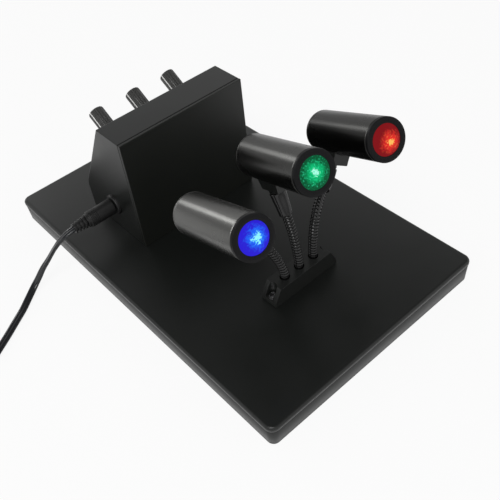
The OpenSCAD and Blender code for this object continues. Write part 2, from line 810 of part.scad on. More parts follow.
// Block that holds the three goosenecks and is screwed down through pockets in its sloping ends
module lamp_bracket() {
  f = bracket_foot / 2;
  t = bracket_top / 2;
  toe = 3;
  color(moulding) translate([bracket_side, -bracket_place, deck_height]) difference() {
    translate([0, bracket_depth / 2, 0]) rotate([90, 0, 0]) linear_extrude(bracket_depth)
      polygon([[-f, 0], [-f, toe], [-t, bracket_height], [t, bracket_height], [f, toe], [f, 0]]);
    for (x = [-1, 1]) {
      translate([x * bracket_screw_x, 0, flange]) {
        cylinder(h = bracket_height, r = pocket_radius);
        translate([x > 0 ? 0 : -pocket_radius - bite, -pocket_radius, 0])
          cube([pocket_radius + bite, 2 * pocket_radius, bracket_height]);
      }
      translate([x * bracket_screw_x, 0, -bite]) cylinder(h = flange + 2 * bite, r = screw_shank + fit);
    }
    for (i = [-1, 0, 1])
      translate([i * neck_pitch, 0, 0]) {
        translate([0, 0, bracket_height - neck_end - fit]) cylinder(h = neck_end + bite, r = socket_bore);
        translate([0, 0, -bite]) cylinder(h = bracket_height, r = wire_hole_radius);
      }
  }
}

module bracket_screws() {
  color(steel)
    for (x = [-1, 1])
      translate([bracket_side + x * bracket_screw_x, -bracket_place, deck_height + flange])
        pan_screw(flange + deck_sheet + 3, height = 2);
}

// Flexible neck: straight ends of one diameter, a ribbed sheath with a bore, and a smooth boot at the lamp
module neck(i) {
  p = neck_handles(i);
  table = lengths(p);
  long = neck_length(table);
  boot = long - boot_length;
  ribs = round(boot / rib_pitch);
  pitch = boot / ribs;
  root = neck_radius - rib_height;
  tip = neck_radius + boot_flare;
  tail = long + neck_end;
  stations = concat(
    [[-neck_end, root], [0, root]],
    [for (k = [0:ribs - 1]) each [[(k + 0.5) * pitch, neck_radius], [(k + 1) * pitch, root]]],
    [
      for (k = [0:boot_rings])
        let (part = k / boot_rings) [boot + part * (boot_length - slack), tip + part * (boot_radius - tip)]
    ],
    [[long - slack, root], [tail, root]]
  );
  bores = [for (s = [-neck_end, 0, each [for (k = [1:11]) k * long / 12], long, tail]) s];
  color(rubber) bored_tube(
    [
      for (s = stations)
        ring(neck_point(p, table, s[0]), neck_heading(p, table, s[0]), s[1], s[1], neck_sides, [0, 1, 0])
    ],
    [
      for (s = bores)
        ring(neck_point(p, table, s), neck_heading(p, table, s), neck_bore, neck_bore, neck_sides, [0, 1, 0])
    ],
    neck_sides
  );
}
module blue_neck() neck(0);
module green_neck() neck(1);
module red_neck() neck(2);

// Lead inside the neck, from under the deck to the back of the lamp's heat sink
module lead(i) {
  p = neck_handles(i);
  table = lengths(p);
  long = neck_length(table);
  foot = neck_foot(i);
  path = concat(
    [
      [foot[0], foot[1], ceiling_z - lead_drop], [foot[0], foot[1], deck_height - 1],
      [foot[0], foot[1], foot[2] - neck_end]
    ],
    [for (k = [0:12]) neck_point(p, table, k * long / 12)],
    [
      lamp_point(i, [socket_depth, 0, socket_place]),
      lamp_point(i, [inner_radius - 1, 0, socket_place + 0.2]),
      lamp_point(i, [inner_radius - 3.8, 0, socket_place + 3]),
      lamp_point(i, [lead_x, 0, socket_place + 6]),
      lamp_point(i, [lead_x, 0, led_z - slack])
    ]
  );
  color(rubber) wire(path, lead_radius, 6, [0.05, 1, 0.02]);
}
module blue_lead() lead(0);
module green_lead() lead(1);
module red_lead() lead(2);

// Saddle block under the lamp with the neck's socket through it
module clip(i) {
  channel = wire_hole_radius + 0.6;
  color(moulding) in_lamp(i) difference() {
    union() {
      translate([0, saddle_width / 2, 0]) rotate([90, 0, 0]) linear_extrude(saddle_width)
        polygon([
          [tube_radius - 2, saddle_rear], [saddle_low, saddle_rear_low],
          [saddle_low, saddle_front_low], [tube_radius - 2, saddle_front]
        ]);
      translate([socket_depth, 0, socket_place]) rotate([0, 90, 0])
        cylinder(h = socket_reach, r = socket_bore + socket_wall);
    }
    translate([0, 0, -bite]) cylinder(h = lamp_length, r = tube_radius + 0.02);
    translate([socket_depth, 0, socket_place]) rotate([0, 90, 0]) {
      translate([0, 0, socket_reach - neck_end - slack]) cylinder(h = neck_end + slack + bite, r = socket_bore);
      translate([0, 0, -tube_radius / 2]) cylinder(h = socket_depth, r = channel);
    }
    translate([clip_seat, 0, clip_screw_z]) rotate([0, 90, 0]) {
      cylinder(h = saddle_depth, r = clip_head + fit);
      translate([0, 0, -saddle_depth]) cylinder(h = saddle_depth + bite, r = clip_shank + fit);
    }
  }
}
module blue_clip() clip(0);
module green_clip() clip(1);
module red_clip() clip(2);

// Screw that draws the saddle up to the tube
module clip_screw(i) {
  color(steel) in_lamp(i) translate([clip_seat, 0, clip_screw_z]) rotate([0, 90, 0])
    pan_screw(clip_seat - inner_radius + 1, shank = clip_shank, head = clip_head, height = 1.3);
}
module blue_clip_screw() clip_screw(0);
module green_clip_screw() clip_screw(1);
module red_clip_screw() clip_screw(2);

// Tube of the lamp, with a hole for the lead and one for the saddle's screw
module tube(i) {
  color(anodised) in_lamp(i) difference() {
    translate([0, 0, rear_cap_rim]) cylinder(h = bezel_z - seam - rear_cap_rim, r = tube_radius);
    translate([0, 0, 0]) cylinder(h = lamp_length, r = inner_radius);
    translate([0, 0, socket_place]) rotate([0, 90, 0]) cylinder(h = lamp_length / 2, r = wire_hole_radius + 0.6);
    translate([0, 0, clip_screw_z]) rotate([0, 90, 0]) cylinder(h = lamp_length / 2, r = clip_shank + running);
  }
}
module blue_tube() tube(0);
module green_tube() tube(1);
module red_tube() tube(2);

// Front ring: a spigot that screws into the tube and a flat face round the opening
module bezel(i) {
  chamfer = 0.25;
  outer = inner_radius - running;
  color(panel) in_lamp(i) rotate_extrude()
    polygon([
      [outer - spigot_wall, bezel_z - seam - spigot_length], [outer, bezel_z - seam - spigot_length],
      [outer, bezel_z - seam], [tube_radius - 0.6, bezel_z - seam], [tube_radius - 0.6, bezel_z],
      [tube_radius, bezel_z], [tube_radius, lamp_length - 0.4], [tube_radius - 0.4, lamp_length],
      [aperture_radius + chamfer, lamp_length], [aperture_radius, lamp_length - chamfer],
      [aperture_radius, lens_z + lens_edge], [outer - spigot_wall, lens_z + lens_edge]
    ]);
}
module blue_bezel() bezel(0);
module green_bezel() bezel(1);
module red_bezel() bezel(2);

// Lens: a flat rim held behind the front ring's lip, with a domed middle that stands proud of it
module lens(i, tint) {
  dome_base = aperture_radius - fit;
  ball = (dome_base * dome_base + lens_dome * lens_dome) / (2 * lens_dome);
  color(tint) in_lamp(i) translate([0, 0, lens_z]) {
    cylinder(h = lens_edge - 0.02, r = lens_radius);
    intersection() {
      translate([0, 0, lens_edge + lens_step + lens_dome - ball]) sphere(r = ball);
      translate([0, 0, lens_edge - bite]) cylinder(h = lens_step + lens_dome + bite, r = dome_base);
    }
  }
}
module blue_lens() lens(0, lens_blue);
module green_lens() lens(1, lens_green);
module red_lens() lens(2, lens_red);

// Light emitter on its round board, seated on the heat sink
module led(i) {
  color([0.9, 0.9, 0.85]) in_lamp(i) translate([0, 0, led_z]) {
    cylinder(h = star_height, r = star_radius);
    translate([0, 0, star_height - 0.1]) cylinder(h = led_height + 0.1, r = led_radius);
    translate([0, 0, star_height + led_height]) intersection() {
      sphere(r = dome_radius);
      translate([-dome_radius, -dome_radius, -0.2]) cube(2 * dome_radius);
    }
  }
}
module blue_led() led(0);
module green_led() led(1);
module red_led() led(2);

// Finned slug that carries the emitter and takes its heat to the tube
module heat_sink(i) {
  fins = 3;
  color([0.62, 0.62, 0.64]) in_lamp(i) difference() {
    translate([0, 0, sink_z]) cylinder(h = sink_length, r = inner_radius - running);
    for (k = [0:fins - 1])
      translate([0, 0, sink_z + 1.5 + k * 3]) difference() {
        cylinder(h = 1.5, r = tube_radius);
        translate([0, 0, -bite]) cylinder(h = 1.5 + 2 * bite, r = inner_radius - 3);
      }
    translate([lead_x, 0, sink_z - bite]) cylinder(h = sink_length + 2 * bite, r = lead_radius + slack);
  }
}
module blue_heat_sink() heat_sink(0);
module green_heat_sink() heat_sink(1);
module red_heat_sink() heat_sink(2);

// Cap that closes the rear of the tube
module rear_cap(i) {
  color(anodised) in_lamp(i) difference() {
    union() {
      cylinder(h = 0.6, r1 = tube_radius - 0.6, r2 = tube_radius);
      translate([0, 0, 0.6]) cylinder(h = rear_cap_rim - 0.6, r = tube_radius);
      translate([0, 0, rear_cap_rim - 0.1]) cylinder(h = rear_cap_plug, r = inner_radius - running);
    }
    translate([0, 0, rear_cap_rim]) cylinder(h = rear_cap_plug, r = inner_radius - 2.5);
  }
}
module blue_rear_cap() rear_cap(0);
module green_rear_cap() rear_cap(1);
module red_rear_cap() rear_cap(2);

// Wires between the socket, the potentiometers, the board and the lamps' leads
module internal_wiring() {
  wire_radius = 0.7;
  x = console_side;
  board_y = board_place[1];
  hole_y = wire_hole_place[1];
  terminal_z = board_top_z + 2.2;
  jack_x = console_side - console_width / 2 + jack_length + 5;
  run_z = ceiling_z - 8;
  color([0.7, 0.12, 0.1])
    for (k = [-1, 1])
      wire([
        [jack_x + 0.4, jack_y + 2 * k, jack_height], [jack_x + 4, jack_y + 2 * k, jack_height],
        [jack_x + 11, board_y + 15, jack_height + 4 + 2 * k], [x - 9 + 2 * k, board_y + 16, board_top_z + 13],
        [x + 2.5 * k, board_y + 12.5, board_top_z + 10], [x + 2.5 * k, board_y + 12.5, terminal_z]
      ], wire_radius);
  color([0.85, 0.75, 0.15])
    for (i = [0:2])
      wire([
        slope_point(knob_offsets[i], pot_radius + tag_reach + 0.3, tag_z - console_wall),
        slope_point(knob_offsets[i], pot_radius + tag_reach + 4, tag_z - console_wall - 1.5),
        [x + knob_offsets[i] * 0.5, board_y - 2, board_top_z + 15],
        [x + 13 * (i - 1) - 2.5, board_y - 10, board_top_z + 13],
        [x + 13 * (i - 1) - 2.5, board_y - 11.5, board_top_z + 9],
        [x + 13 * (i - 1) - 2.5, board_y - 11.5, terminal_z]
      ], wire_radius);
  color([0.85, 0.85, 0.85])
    for (i = [0:2])
      wire([
        [x + 13 * (i - 1) + 2.5, board_y - 11.5, terminal_z],
        [x + 13 * (i - 1) + 2.5, board_y - 11.5, board_top_z + 10],
        [x + 8 * (i - 1), hole_y + 3, board_top_z + 6], [x + 3 * (i - 1), hole_y, deck_height + 6],
        [x + 3 * (i - 1), hole_y, ceiling_z - 1], [x + 3 * (i - 1), hole_y - 4, run_z],
        [x / 2 + 6 * (i - 1), 0, run_z], [neck_foot(i)[0], 8 - bracket_place, run_z],
        [neck_foot(i)[0], 2 - bracket_place, run_z], [neck_foot(i)[0], -bracket_place, run_z + 1],
        [neck_foot(i)[0], -bracket_place, ceiling_z - lead_drop - 0.3]
      ], wire_radius);
}

// Moulded power plug: sleeve in the socket, ribbed grip, step and slotted strain relief
module dc_plug() {
  grip = 5;
  color(rubber) at_jack() {
    rotate_extrude()
      polygon(concat(
        [
          [jack_pin + running, -7], [plug_sleeve, -7], [plug_sleeve, plug_start], [plug_body - 0.6, plug_start],
          [plug_body, plug_start + 0.6], [plug_body, plug_body_end - grip * 1.2]
        ],
        [
          for (k = [0:grip - 1]) each [
            [plug_body - 0.35, plug_body_end - (grip - k - 0.3) * 1.2],
            [plug_body, plug_body_end - (grip - k - 0.6) * 1.2]
          ]
        ],
        [
          [plug_body, plug_body_end], [plug_body - 0.9, plug_body_end], [plug_body - 0.9, relief_start],
          [2.9, relief_start]
        ],
        [
          for (k = [0:relief_flanges - 1])
            let (z = relief_start + k * relief_pitch, r = 4.4 - 0.25 * k)
            each [[2.9, z + 1], [r, z + 1], [r, z + relief_pitch], [k == relief_flanges - 1 ? 0 : 2.9, z + relief_pitch]]
        ],
        [[0, plug_start], [jack_pin + running, plug_start]]
      ));
  }
}

// Free stretch of the twin lead, swept along its route, with the headings of its two ends
module cord_run(route, first, last) {
  rings = [
    for (i = [0:len(route) - 1])
      ring(route[i], led_heading(route, i, first, last), cord_width / 2, cord_thick / 2, lead_sides, [0, 0, 1])
  ];
  color(rubber) solid_tube(rings, lead_sides);
}
module cord_lead() cord_run(lead_route, [-1, 0, 0], [-1, 0, 0]);

// Coil: clockwise from the lead, inwards on the table, up a layer in half a turn, then outwards
coil_step = cord_width + coil_gap;
coil_layer = cord_thick + coil_gap;
coil_turns = turns_in + climb + turns_out;
coil_inner = coil_radius - turns_in * coil_step;
climb_bow = 1.6;
function coil_reach(t) =
  t < turns_in ? coil_radius - t * coil_step
  : t < turns_in + climb ? coil_inner - climb_bow * (1 - cos(360 * (t - turns_in) / climb)) / 2
  : coil_inner + (t - turns_in - climb) * coil_step;
function coil_height(t) =
  t < turns_in ? coil_low
  : t < turns_in + climb ? coil_low + coil_layer * (1 - cos(180 * (t - turns_in) / climb)) / 2
  : coil_low + coil_layer;
function coil_point(t) =
  let (a = -90 - 360 * t, r = coil_reach(t))
  [coil_centre[0] + r * cos(a), coil_centre[1] + r * sin(a), coil_height(t)];
function least_gap(rings, far) = min([
  for (i = [0:len(rings) - 1 - far], j = [i + far:1:len(rings) - 1])
    if (norm(rings[i][0] - rings[j][0]) < 14)
      min([for (a = rings[i], b = rings[j]) norm(a - b)])
]);
module cord_coil() {
  n = round(coil_turns * coil_rings);
  path = [for (k = [0:n]) coil_point(k * coil_turns / n)];
  rings = [
    for (i = [0:n])
      ring(path[i], led_heading(path, i, [-1, 0, 0], [0, 1, 0]), cord_width / 2, cord_thick / 2, coil_sides, [0, 0, 1])
  ];
  echo(least_gap_of_the_coil_to_itself = least_gap(rings, coil_rings / 2));
  color(rubber) solid_tube(rings, coil_sides);
}

// Short free stretch from the coil to the adapter
tail_route = [for (p = tail_steps) coil_point(coil_turns) + p];
module cord_tail() cord_run(tail_route, [0, 1, 0], [0, 1, 0]);

// Flat band round the coil's turns
module cord_tie() {
  clear = 0.5;
  half = cord_width / 2 + clear;
  reach_in = coil_reach(turns_in + climb + tie_turn) - half;
  reach_out = coil_reach(tie_turn) + half;
  floor_z = coil_low - cord_thick / 2 - clear;
  roof_z = coil_low + coil_layer + cord_thick / 2 + clear;
  color(panel) translate([coil_centre[0], coil_centre[1], 0]) rotate([0, 0, -90 - 360 * tie_turn])
    difference() {
      translate([reach_in - tie_thick, -tie_width / 2, floor_z - tie_thick / 2])
        cube([reach_out - reach_in + 2 * tie_thick, tie_width, roof_z - floor_z + tie_thick]);
      translate([reach_in, -tie_width / 2 - bite, floor_z])
        cube([reach_out - reach_in, tie_width + 2 * bite, roof_z - floor_z - tie_thick / 2]);
    }
}

// Plug-top power adapter at the far end, lying on the table beside the coil
adapter_start = tail_route[len(tail_route) - 1];
module mains_adapter() {
  w = adapter_size[0];
  l = adapter_size[1];
  h = adapter_size[2];
  c = adapter_corner;
  color(rubber) {
    translate([adapter_start[0], adapter_start[1] + adapter_relief, 0])
      hull()
        for (x = [-w / 2 + c, w / 2 - c], y = [0, l - 1.5], z = [c, h - c])
          translate([x, y, z]) rotate([-90, 0, 0]) cylinder(h = 1.5, r = c, $fn = soft);
    translate(adapter_start) rotate([-90, 0, 0]) cylinder(h = adapter_relief + bite, r1 = 3.2, r2 = 4.6);
  }
}

module adapter_pins() {
  color(steel)
    for (x = [-1, 1])
      translate([
        adapter_start[0] + x * blade_pitch / 2 - blade_size[2] / 2,
        adapter_start[1] + adapter_relief + adapter_size[1],
        (adapter_size[2] - blade_size[0]) / 2
      ]) cube([blade_size[2], blade_size[1], blade_size[0]]);
}

base_shell();
bottom_cover();
cover_screws();
rubber_feet();
console_shell();
front_cover();
console_screws();
circuit_board();
board_parts();
board_screws();
internal_wiring();
dc_jack();
jack_nut();
potentiometers();
pot_nuts();
knob_1();
knob_2();
knob_3();
knob_shaft_1();
knob_shaft_2();
knob_shaft_3();
lamp_bracket();
bracket_screws();
blue_neck();
blue_lead();
blue_clip();
blue_clip_screw();
blue_tube();
blue_bezel();
blue_lens();
blue_led();
blue_heat_sink();
blue_rear_cap();
green_neck();
green_lead();
green_clip();
green_clip_screw();
green_tube();
green_bezel();
green_lens();
green_led();
green_heat_sink();
green_rear_cap();
red_neck();
red_lead();
red_clip();
red_clip_screw();
red_tube();
red_bezel();
red_lens();
red_led();
red_heat_sink();
red_rear_cap();
dc_plug();
cord_lead();
cord_coil();
cord_tail();
cord_tie();
mains_adapter();
adapter_pins();
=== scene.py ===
# %% [markdown]
# # Optics ray box
#
# The object is a flat black base with a sloping console. Three coloured lamps stand on
# goosenecks that rise from a bracket. The imported model gives the frame: the pieces below are
# placed by it, most replace one of its nodes, and most ride on one of its bodies.

# %% Load the frame
import json
import math

import bpy
from mathutils import Matrix, Vector


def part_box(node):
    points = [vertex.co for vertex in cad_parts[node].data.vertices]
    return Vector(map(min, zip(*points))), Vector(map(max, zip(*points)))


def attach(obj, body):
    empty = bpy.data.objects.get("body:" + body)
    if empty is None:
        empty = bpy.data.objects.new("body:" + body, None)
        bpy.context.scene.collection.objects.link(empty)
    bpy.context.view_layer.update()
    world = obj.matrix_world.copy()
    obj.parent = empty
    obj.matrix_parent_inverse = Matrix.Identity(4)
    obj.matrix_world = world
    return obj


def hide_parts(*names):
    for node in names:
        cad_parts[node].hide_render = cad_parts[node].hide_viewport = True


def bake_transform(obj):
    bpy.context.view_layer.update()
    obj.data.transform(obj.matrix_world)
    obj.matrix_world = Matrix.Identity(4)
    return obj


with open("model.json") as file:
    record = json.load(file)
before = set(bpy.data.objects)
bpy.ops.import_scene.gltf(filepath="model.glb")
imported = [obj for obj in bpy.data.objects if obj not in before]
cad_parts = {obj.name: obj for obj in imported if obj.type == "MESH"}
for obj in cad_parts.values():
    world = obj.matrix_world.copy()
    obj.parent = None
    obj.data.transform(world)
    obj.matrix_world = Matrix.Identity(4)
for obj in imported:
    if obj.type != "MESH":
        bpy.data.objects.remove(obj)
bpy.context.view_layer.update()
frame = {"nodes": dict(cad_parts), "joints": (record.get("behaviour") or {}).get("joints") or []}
nodes = frame["nodes"]

# %% [markdown]
# ## The camera
#
# The photograph looks down on the front left corner. Heading, drop and roll are angles that
# anyone could read off a tripod, so the camera is built from them rather than from a matrix.

# %% Camera
MM = 0.001
EYE = Vector((-204.08, -296.70, 356.22)) * MM
HEADING = 36.60
DROP = 45.32
ROLL = 7.30
LENS = 50.35


def make_camera():
    camera = bpy.data.objects.new("camera", bpy.data.cameras.new("camera"))
    bpy.context.scene.collection.objects.link(camera)
    camera.data.lens = LENS
    camera.data.sensor_width = 36
    camera.data.clip_start = 0.01
    turn = Matrix.Rotation(math.radians(-HEADING), 4, "Z")
    tip = Matrix.Rotation(math.radians(90 - DROP), 4, "X")
    lean = Matrix.Rotation(math.radians(-ROLL), 4, "Z")
    camera.matrix_world = Matrix.Translation(EYE) @ turn @ tip @ lean
    bpy.context.scene.camera = camera
    return camera


camera = make_camera()
bpy.context.scene.view_settings.view_transform = "Standard"
print("camera looks along", (camera.matrix_world.to_3x3() @ Vector((0, 0, -1))).normalized())

# %% [markdown]
# ## Tools for making pieces
#
# Sizes are written in millimetres, as on a drawing, and turned to metres in one place. A piece
# may have a place of its own, so that a lamp can be drawn upright and then aimed.


# %% A piece from points and faces
def piece(name, points, faces, place=None, sharp=35):
    mesh = bpy.data.meshes.new(name)
    mesh.from_pydata([Vector(p) * MM for p in points], [], faces)
    mesh.validate()
    mesh.update()
    obj = bpy.data.objects.new(name, mesh)
    bpy.context.scene.collection.objects.link(obj)
    obj.matrix_world = place or Matrix.Identity(4)
    mesh.shade_smooth()
    mesh.set_sharp_from_angle(angle=math.radians(sharp))
    return obj


def dress(obj, material, body, slot, *stands_for):
    obj.data.materials.append(material)
    if stands_for:
        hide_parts(*stands_for)
    if body:
        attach(obj, body)
    return obj


def soften(obj, width, segments=3, angle=32):
    bevel = obj.modifiers.new("soft_edges", "BEVEL")
    bevel.width = width * MM
    bevel.segments = segments
    bevel.limit_method = "ANGLE"
    bevel.angle_limit = math.radians(angle)
    bevel.harden_normals = True
    return obj


# %% Walls between rings
def wall(rings, closed=True):
    """Quads between each ring and the next; a ring is a list of point numbers."""
    faces = []
    for low, high in zip(rings, rings[1:]):
        count = len(low)
        for k in range(count if closed else count - 1):
            m = (k + 1) % count
            faces.append((low[k], low[m], high[m], high[k]))
    return faces


def turned(name, profile, place=None, sides=96, loop=False, sharp=35):
    """A turned piece: the profile is a list of (radius, height), turned round +Z."""
    points, rings = [], []
    for radius, height in profile:
        ring = []
        for k in range(sides):
            angle = 2 * math.pi * k / sides
            ring.append(len(points))
            points.append((radius * math.cos(angle), radius * math.sin(angle), height))
        rings.append(ring)
    if loop:
        rings.append(rings[0])
    faces = wall(rings)
    if not loop:
        if profile[0][0] > 0.01:
            faces.append(tuple(reversed(rings[0])))
        if profile[-1][0] > 0.01:
            faces.append(tuple(rings[-1]))
    return piece(name, points, faces, place, sharp)


def swept(name, centres, headings, outline, upright=(0, 0, 1), sharp=35):
    """A tube: outline(i) gives the (across, up) points of ring i."""
    points, rings = [], []
    for i, (centre, heading) in enumerate(zip(centres, headings)):
        across = Vector(heading).cross(Vector(upright)).normalized()
        up = across.cross(Vector(heading)).normalized()
        ring = []
        for a, b in outline(i):
            ring.append(len(points))
            points.append(Vector(centre) + across * a + up * b)
        rings.append(ring)
    faces = wall(rings)
    faces.append(tuple(reversed(rings[0])))
    faces.append(tuple(rings[-1]))
    return piece(name, points, faces, sharp=sharp)

# %% [markdown]
# ## Finishes
#
# Black plastic is never one flat black: it shows the moulding grain, faint handling marks and
# soft edges. Each finish is a Principled shader with its uniform numbers on its own sockets, a
# fine grain as bump, and a slow noise that varies the roughness the way skin oil and dust do.


# %% Finish maker
def finish(name, colour, roughness, metallic=0.0, grain=900, depth=0.02, uneven=0.12, edge=0.25, drawn=1.0, **more):
    """Drawn is how much the marks are shortened along Z: a small number gives long drawing lines."""
    made = bpy.data.materials.new(name)
    made.use_nodes = True
    tree = made.node_tree
    shader = tree.nodes["Principled BSDF"]
    shader.inputs["Base Color"].default_value = (*colour, 1)
    shader.inputs["Metallic"].default_value = metallic
    for socket, value in more.items():
        shader.inputs[socket.replace("_", " ")].default_value = value
    where = tree.nodes.new("ShaderNodeTexCoord")
    stretch = tree.nodes.new("ShaderNodeVectorMath")
    stretch.operation = "MULTIPLY"
    stretch.inputs[1].default_value = (1, 1, drawn)
    slow = tree.nodes.new("ShaderNodeTexNoise")
    slow.inputs["Scale"].default_value = 35
    slow.inputs["Detail"].default_value = 4
    spread = tree.nodes.new("ShaderNodeMapRange")
    spread.inputs["To Min"].default_value = roughness * (1 - uneven)
    spread.inputs["To Max"].default_value = roughness * (1 + uneven)
    fine = tree.nodes.new("ShaderNodeTexNoise")
    fine.inputs["Scale"].default_value = grain
    fine.inputs["Detail"].default_value = 3
    bump = tree.nodes.new("ShaderNodeBump")
    bump.inputs["Strength"].default_value = depth * 10
    bump.inputs["Distance"].default_value = 0.0001
    round_off = tree.nodes.new("ShaderNodeBevel")
    round_off.samples = 4
    round_off.inputs["Radius"].default_value = edge * MM
    link = tree.links.new
    link(where.outputs["Object"], slow.inputs["Vector"])
    link(where.outputs["Object"], stretch.inputs[0])
    link(stretch.outputs["Vector"], fine.inputs["Vector"])
    link(slow.outputs["Fac"], spread.inputs["Value"])
    link(spread.outputs["Result"], shader.inputs["Roughness"])
    link(fine.outputs["Fac"], bump.inputs["Height"])
    link(round_off.outputs["Normal"], bump.inputs["Normal"])
    link(bump.outputs["Normal"], shader.inputs["Normal"])
    return made


# %% The plain finishes
bracket_moulding = finish("bracket_moulding", (0.014, 0.015, 0.014), 0.30, grain=1400, depth=0.012)
moulding = finish("satin_moulding", (0.0062, 0.0072, 0.0064), 0.34, grain=1400, depth=0.012, uneven=0.22)
front_sheet = finish("front_sheet", (0.0065, 0.0075, 0.0060), 0.38, grain=1800, depth=0.014)
knob_plastic = finish("knob_plastic", (0.050, 0.050, 0.048), 0.26, grain=2200, depth=0.01, edge=0.08)
white_stripe_finish = finish("white_stripe_finish", (0.80, 0.80, 0.78), 0.45, grain=1500, depth=0.01)
rubber = finish("rubber", (0.007, 0.007, 0.007), 0.50, grain=2600, depth=0.03)
sheath = finish("cord_sheath", (0.010, 0.011, 0.013), 0.19, grain=2600, depth=0.003, uneven=0.06)
neck_sheath = finish("neck_sheath", (0.008, 0.008, 0.008), 0.17, grain=2200, depth=0.006, edge=0.02)
# The three tubes are one black anodised metal; each lamp's tone differs only to paint the light and shade that its tube
# catches.
anodised_lit = {}
for colour, lit_tone in (("blue", 0.132), ("green", 0.072), ("red", 0.046)):
    lit_shade = (lit_tone, lit_tone, lit_tone * 0.96)
    anodised_lit[colour] = finish(f"anodised_painted_light_{colour}", lit_shade, 0.27, metallic=1.0, grain=520, depth=0.05, drawn=0.03)
ring_black = finish("ring_black", (0.006, 0.006, 0.0065), 0.34, grain=2400, depth=0.012, Specular_IOR_Level=0.15)
plated = finish("plated_steel", (0.60, 0.60, 0.61), 0.26, metallic=1.0, grain=1800, depth=0.012)
# Plated steel darkened to paint the shade that falls in the bracket's pockets.
pocket_shade_steel = finish("steel_painted_pocket_shade", (0.20, 0.20, 0.205), 0.28, metallic=1.0, grain=1800, depth=0.012)
turned_metal = finish("turned_metal", (0.62, 0.62, 0.63), 0.34, metallic=1.0, grain=2000, depth=0.02)
laminate = finish("board_laminate", (0.02, 0.17, 0.07), 0.30, grain=1200, depth=0.02)
component = finish("component_case", (0.03, 0.03, 0.035), 0.45, grain=1500, depth=0.02)
wire_red = finish("wire_sleeve", (0.42, 0.06, 0.05), 0.42, grain=1500, depth=0.01)
emitter_white = finish("emitter_board", (0.75, 0.75, 0.70), 0.42, grain=1500, depth=0.01)
adapter_case = finish("adapter_case", (0.016, 0.016, 0.017), 0.50, grain=900, depth=0.05)
print("finishes:", len(bpy.data.materials))

# %% [markdown]
# ## Lit lenses
#
# Behind each lens sits one bright emitter. The dome spreads it into a saturated disc with a
# hot, almost white core and a few sparkles, so the glow falls off with the distance from a
# point that lies in the lens, in the lamp's own coordinates.


# %% Lens finish
def lit_lens(name, deep, mid, core, spark, spot, core_size, glitter):
    """Spot is the core's place, core_size its radius, and glitter how far the sparkles reach."""
    made = bpy.data.materials.new(name)
    made.use_nodes = True
    tree = made.node_tree
    link = tree.links.new
    shader = tree.nodes["Principled BSDF"]
    shader.inputs["Base Color"].default_value = (0.004, 0.004, 0.004, 1)
    shader.inputs["Roughness"].default_value = 0.35
    shader.inputs["Specular IOR Level"].default_value = 0.03
    shader.inputs["Emission Strength"].default_value = 1.0
    where = tree.nodes.new("ShaderNodeTexCoord")
    flat = tree.nodes.new("ShaderNodeVectorMath")
    flat.operation = "MULTIPLY"
    flat.inputs[1].default_value = (1, 1, 0)
    away = tree.nodes.new("ShaderNodeVectorMath")
    away.operation = "DISTANCE"
    away.inputs[1].default_value = (spot[0] * MM, spot[1] * MM, 0)
    cloud = tree.nodes.new("ShaderNodeTexNoise")
    cloud.inputs["Scale"].default_value = 420
    cloud.inputs["Detail"].default_value = 6
    cloud.inputs["Roughness"].default_value = 0.7
    cloud.inputs["Distortion"].default_value = 0.8
    scatter = tree.nodes.new("ShaderNodeMath")
    scatter.operation = "MULTIPLY_ADD"
    scatter.inputs[1].default_value = core_size * MM * 4.5
    ramp_in = tree.nodes.new("ShaderNodeMapRange")
    ramp_in.inputs["From Min"].default_value = core_size * MM * 2.85
    ramp_in.inputs["From Max"].default_value = core_size * MM * 2.2 + 9.0 * MM
    ramp = tree.nodes.new("ShaderNodeValToRGB")
    ramp.color_ramp.elements[0].position = 0.0
    ramp.color_ramp.elements[0].color = (*core, 1)
    ramp.color_ramp.elements[1].position = 0.8
    ramp.color_ramp.elements[1].color = (*deep, 1)
    ramp.color_ramp.elements.new(0.10).color = (*mid, 1)
    grains = tree.nodes.new("ShaderNodeTexNoise")
    grains.inputs["Scale"].default_value = 950
    grains.inputs["Detail"].default_value = 3
    sparks = tree.nodes.new("ShaderNodeMapRange")
    sparks.inputs["From Min"].default_value = 0.56
    sparks.inputs["From Max"].default_value = 0.68
    near = tree.nodes.new("ShaderNodeMapRange")
    near.inputs["From Min"].default_value = glitter * MM
    near.inputs["From Max"].default_value = 1.0 * MM
    share = tree.nodes.new("ShaderNodeMath")
    share.operation = "MULTIPLY"
    lit = tree.nodes.new("ShaderNodeMix")
    lit.data_type = "RGBA"
    lit.inputs["B"].default_value = (*spark, 1)
    link(where.outputs["Object"], flat.inputs[0])
    link(flat.outputs["Vector"], away.inputs[0])
    link(where.outputs["Object"], cloud.inputs["Vector"])
    link(cloud.outputs["Fac"], scatter.inputs[0])
    link(away.outputs["Value"], scatter.inputs[2])
    link(scatter.outputs["Value"], ramp_in.inputs["Value"])
    link(ramp_in.outputs["Result"], ramp.inputs["Fac"])
    link(where.outputs["Object"], grains.inputs["Vector"])
    link(grains.outputs["Fac"], sparks.inputs["Value"])
    link(away.outputs["Value"], near.inputs["Value"])
    link(sparks.outputs["Result"], share.inputs[0])
    link(near.outputs["Result"], share.inputs[1])
    link(share.outputs["Value"], lit.inputs["Factor"])
    link(ramp.outputs["Color"], lit.inputs["A"])
    link(lit.outputs["Result"], shader.inputs["Emission Color"])
    return made


lens_finish = {
    "blue": lit_lens(
        "lit_blue", (0.022, 0.012, 0.66), (0.01, 0.15, 1.0), (0.30, 0.95, 1.0), (0.10, 0.80, 1.0), (0.5, 0.9), 3.4, 5.5
    ),
    "green": lit_lens(
        "lit_green", (0.0, 0.09, 0.03), (0.0, 0.56, 0.19), (0.42, 1.0, 0.80), (0.04, 0.85, 0.42), (-0.8, -0.4), 2.3, 12.0
    ),
    "red": lit_lens(
        "lit_red", (0.22, 0.004, 0.007), (0.85, 0.030, 0.022), (1.0, 0.55, 0.12), (1.0, 0.22, 0.05), (0.7, 2.0), 2.4, 8.0
    ),
}
print("lens finishes:", sorted(lens_finish))

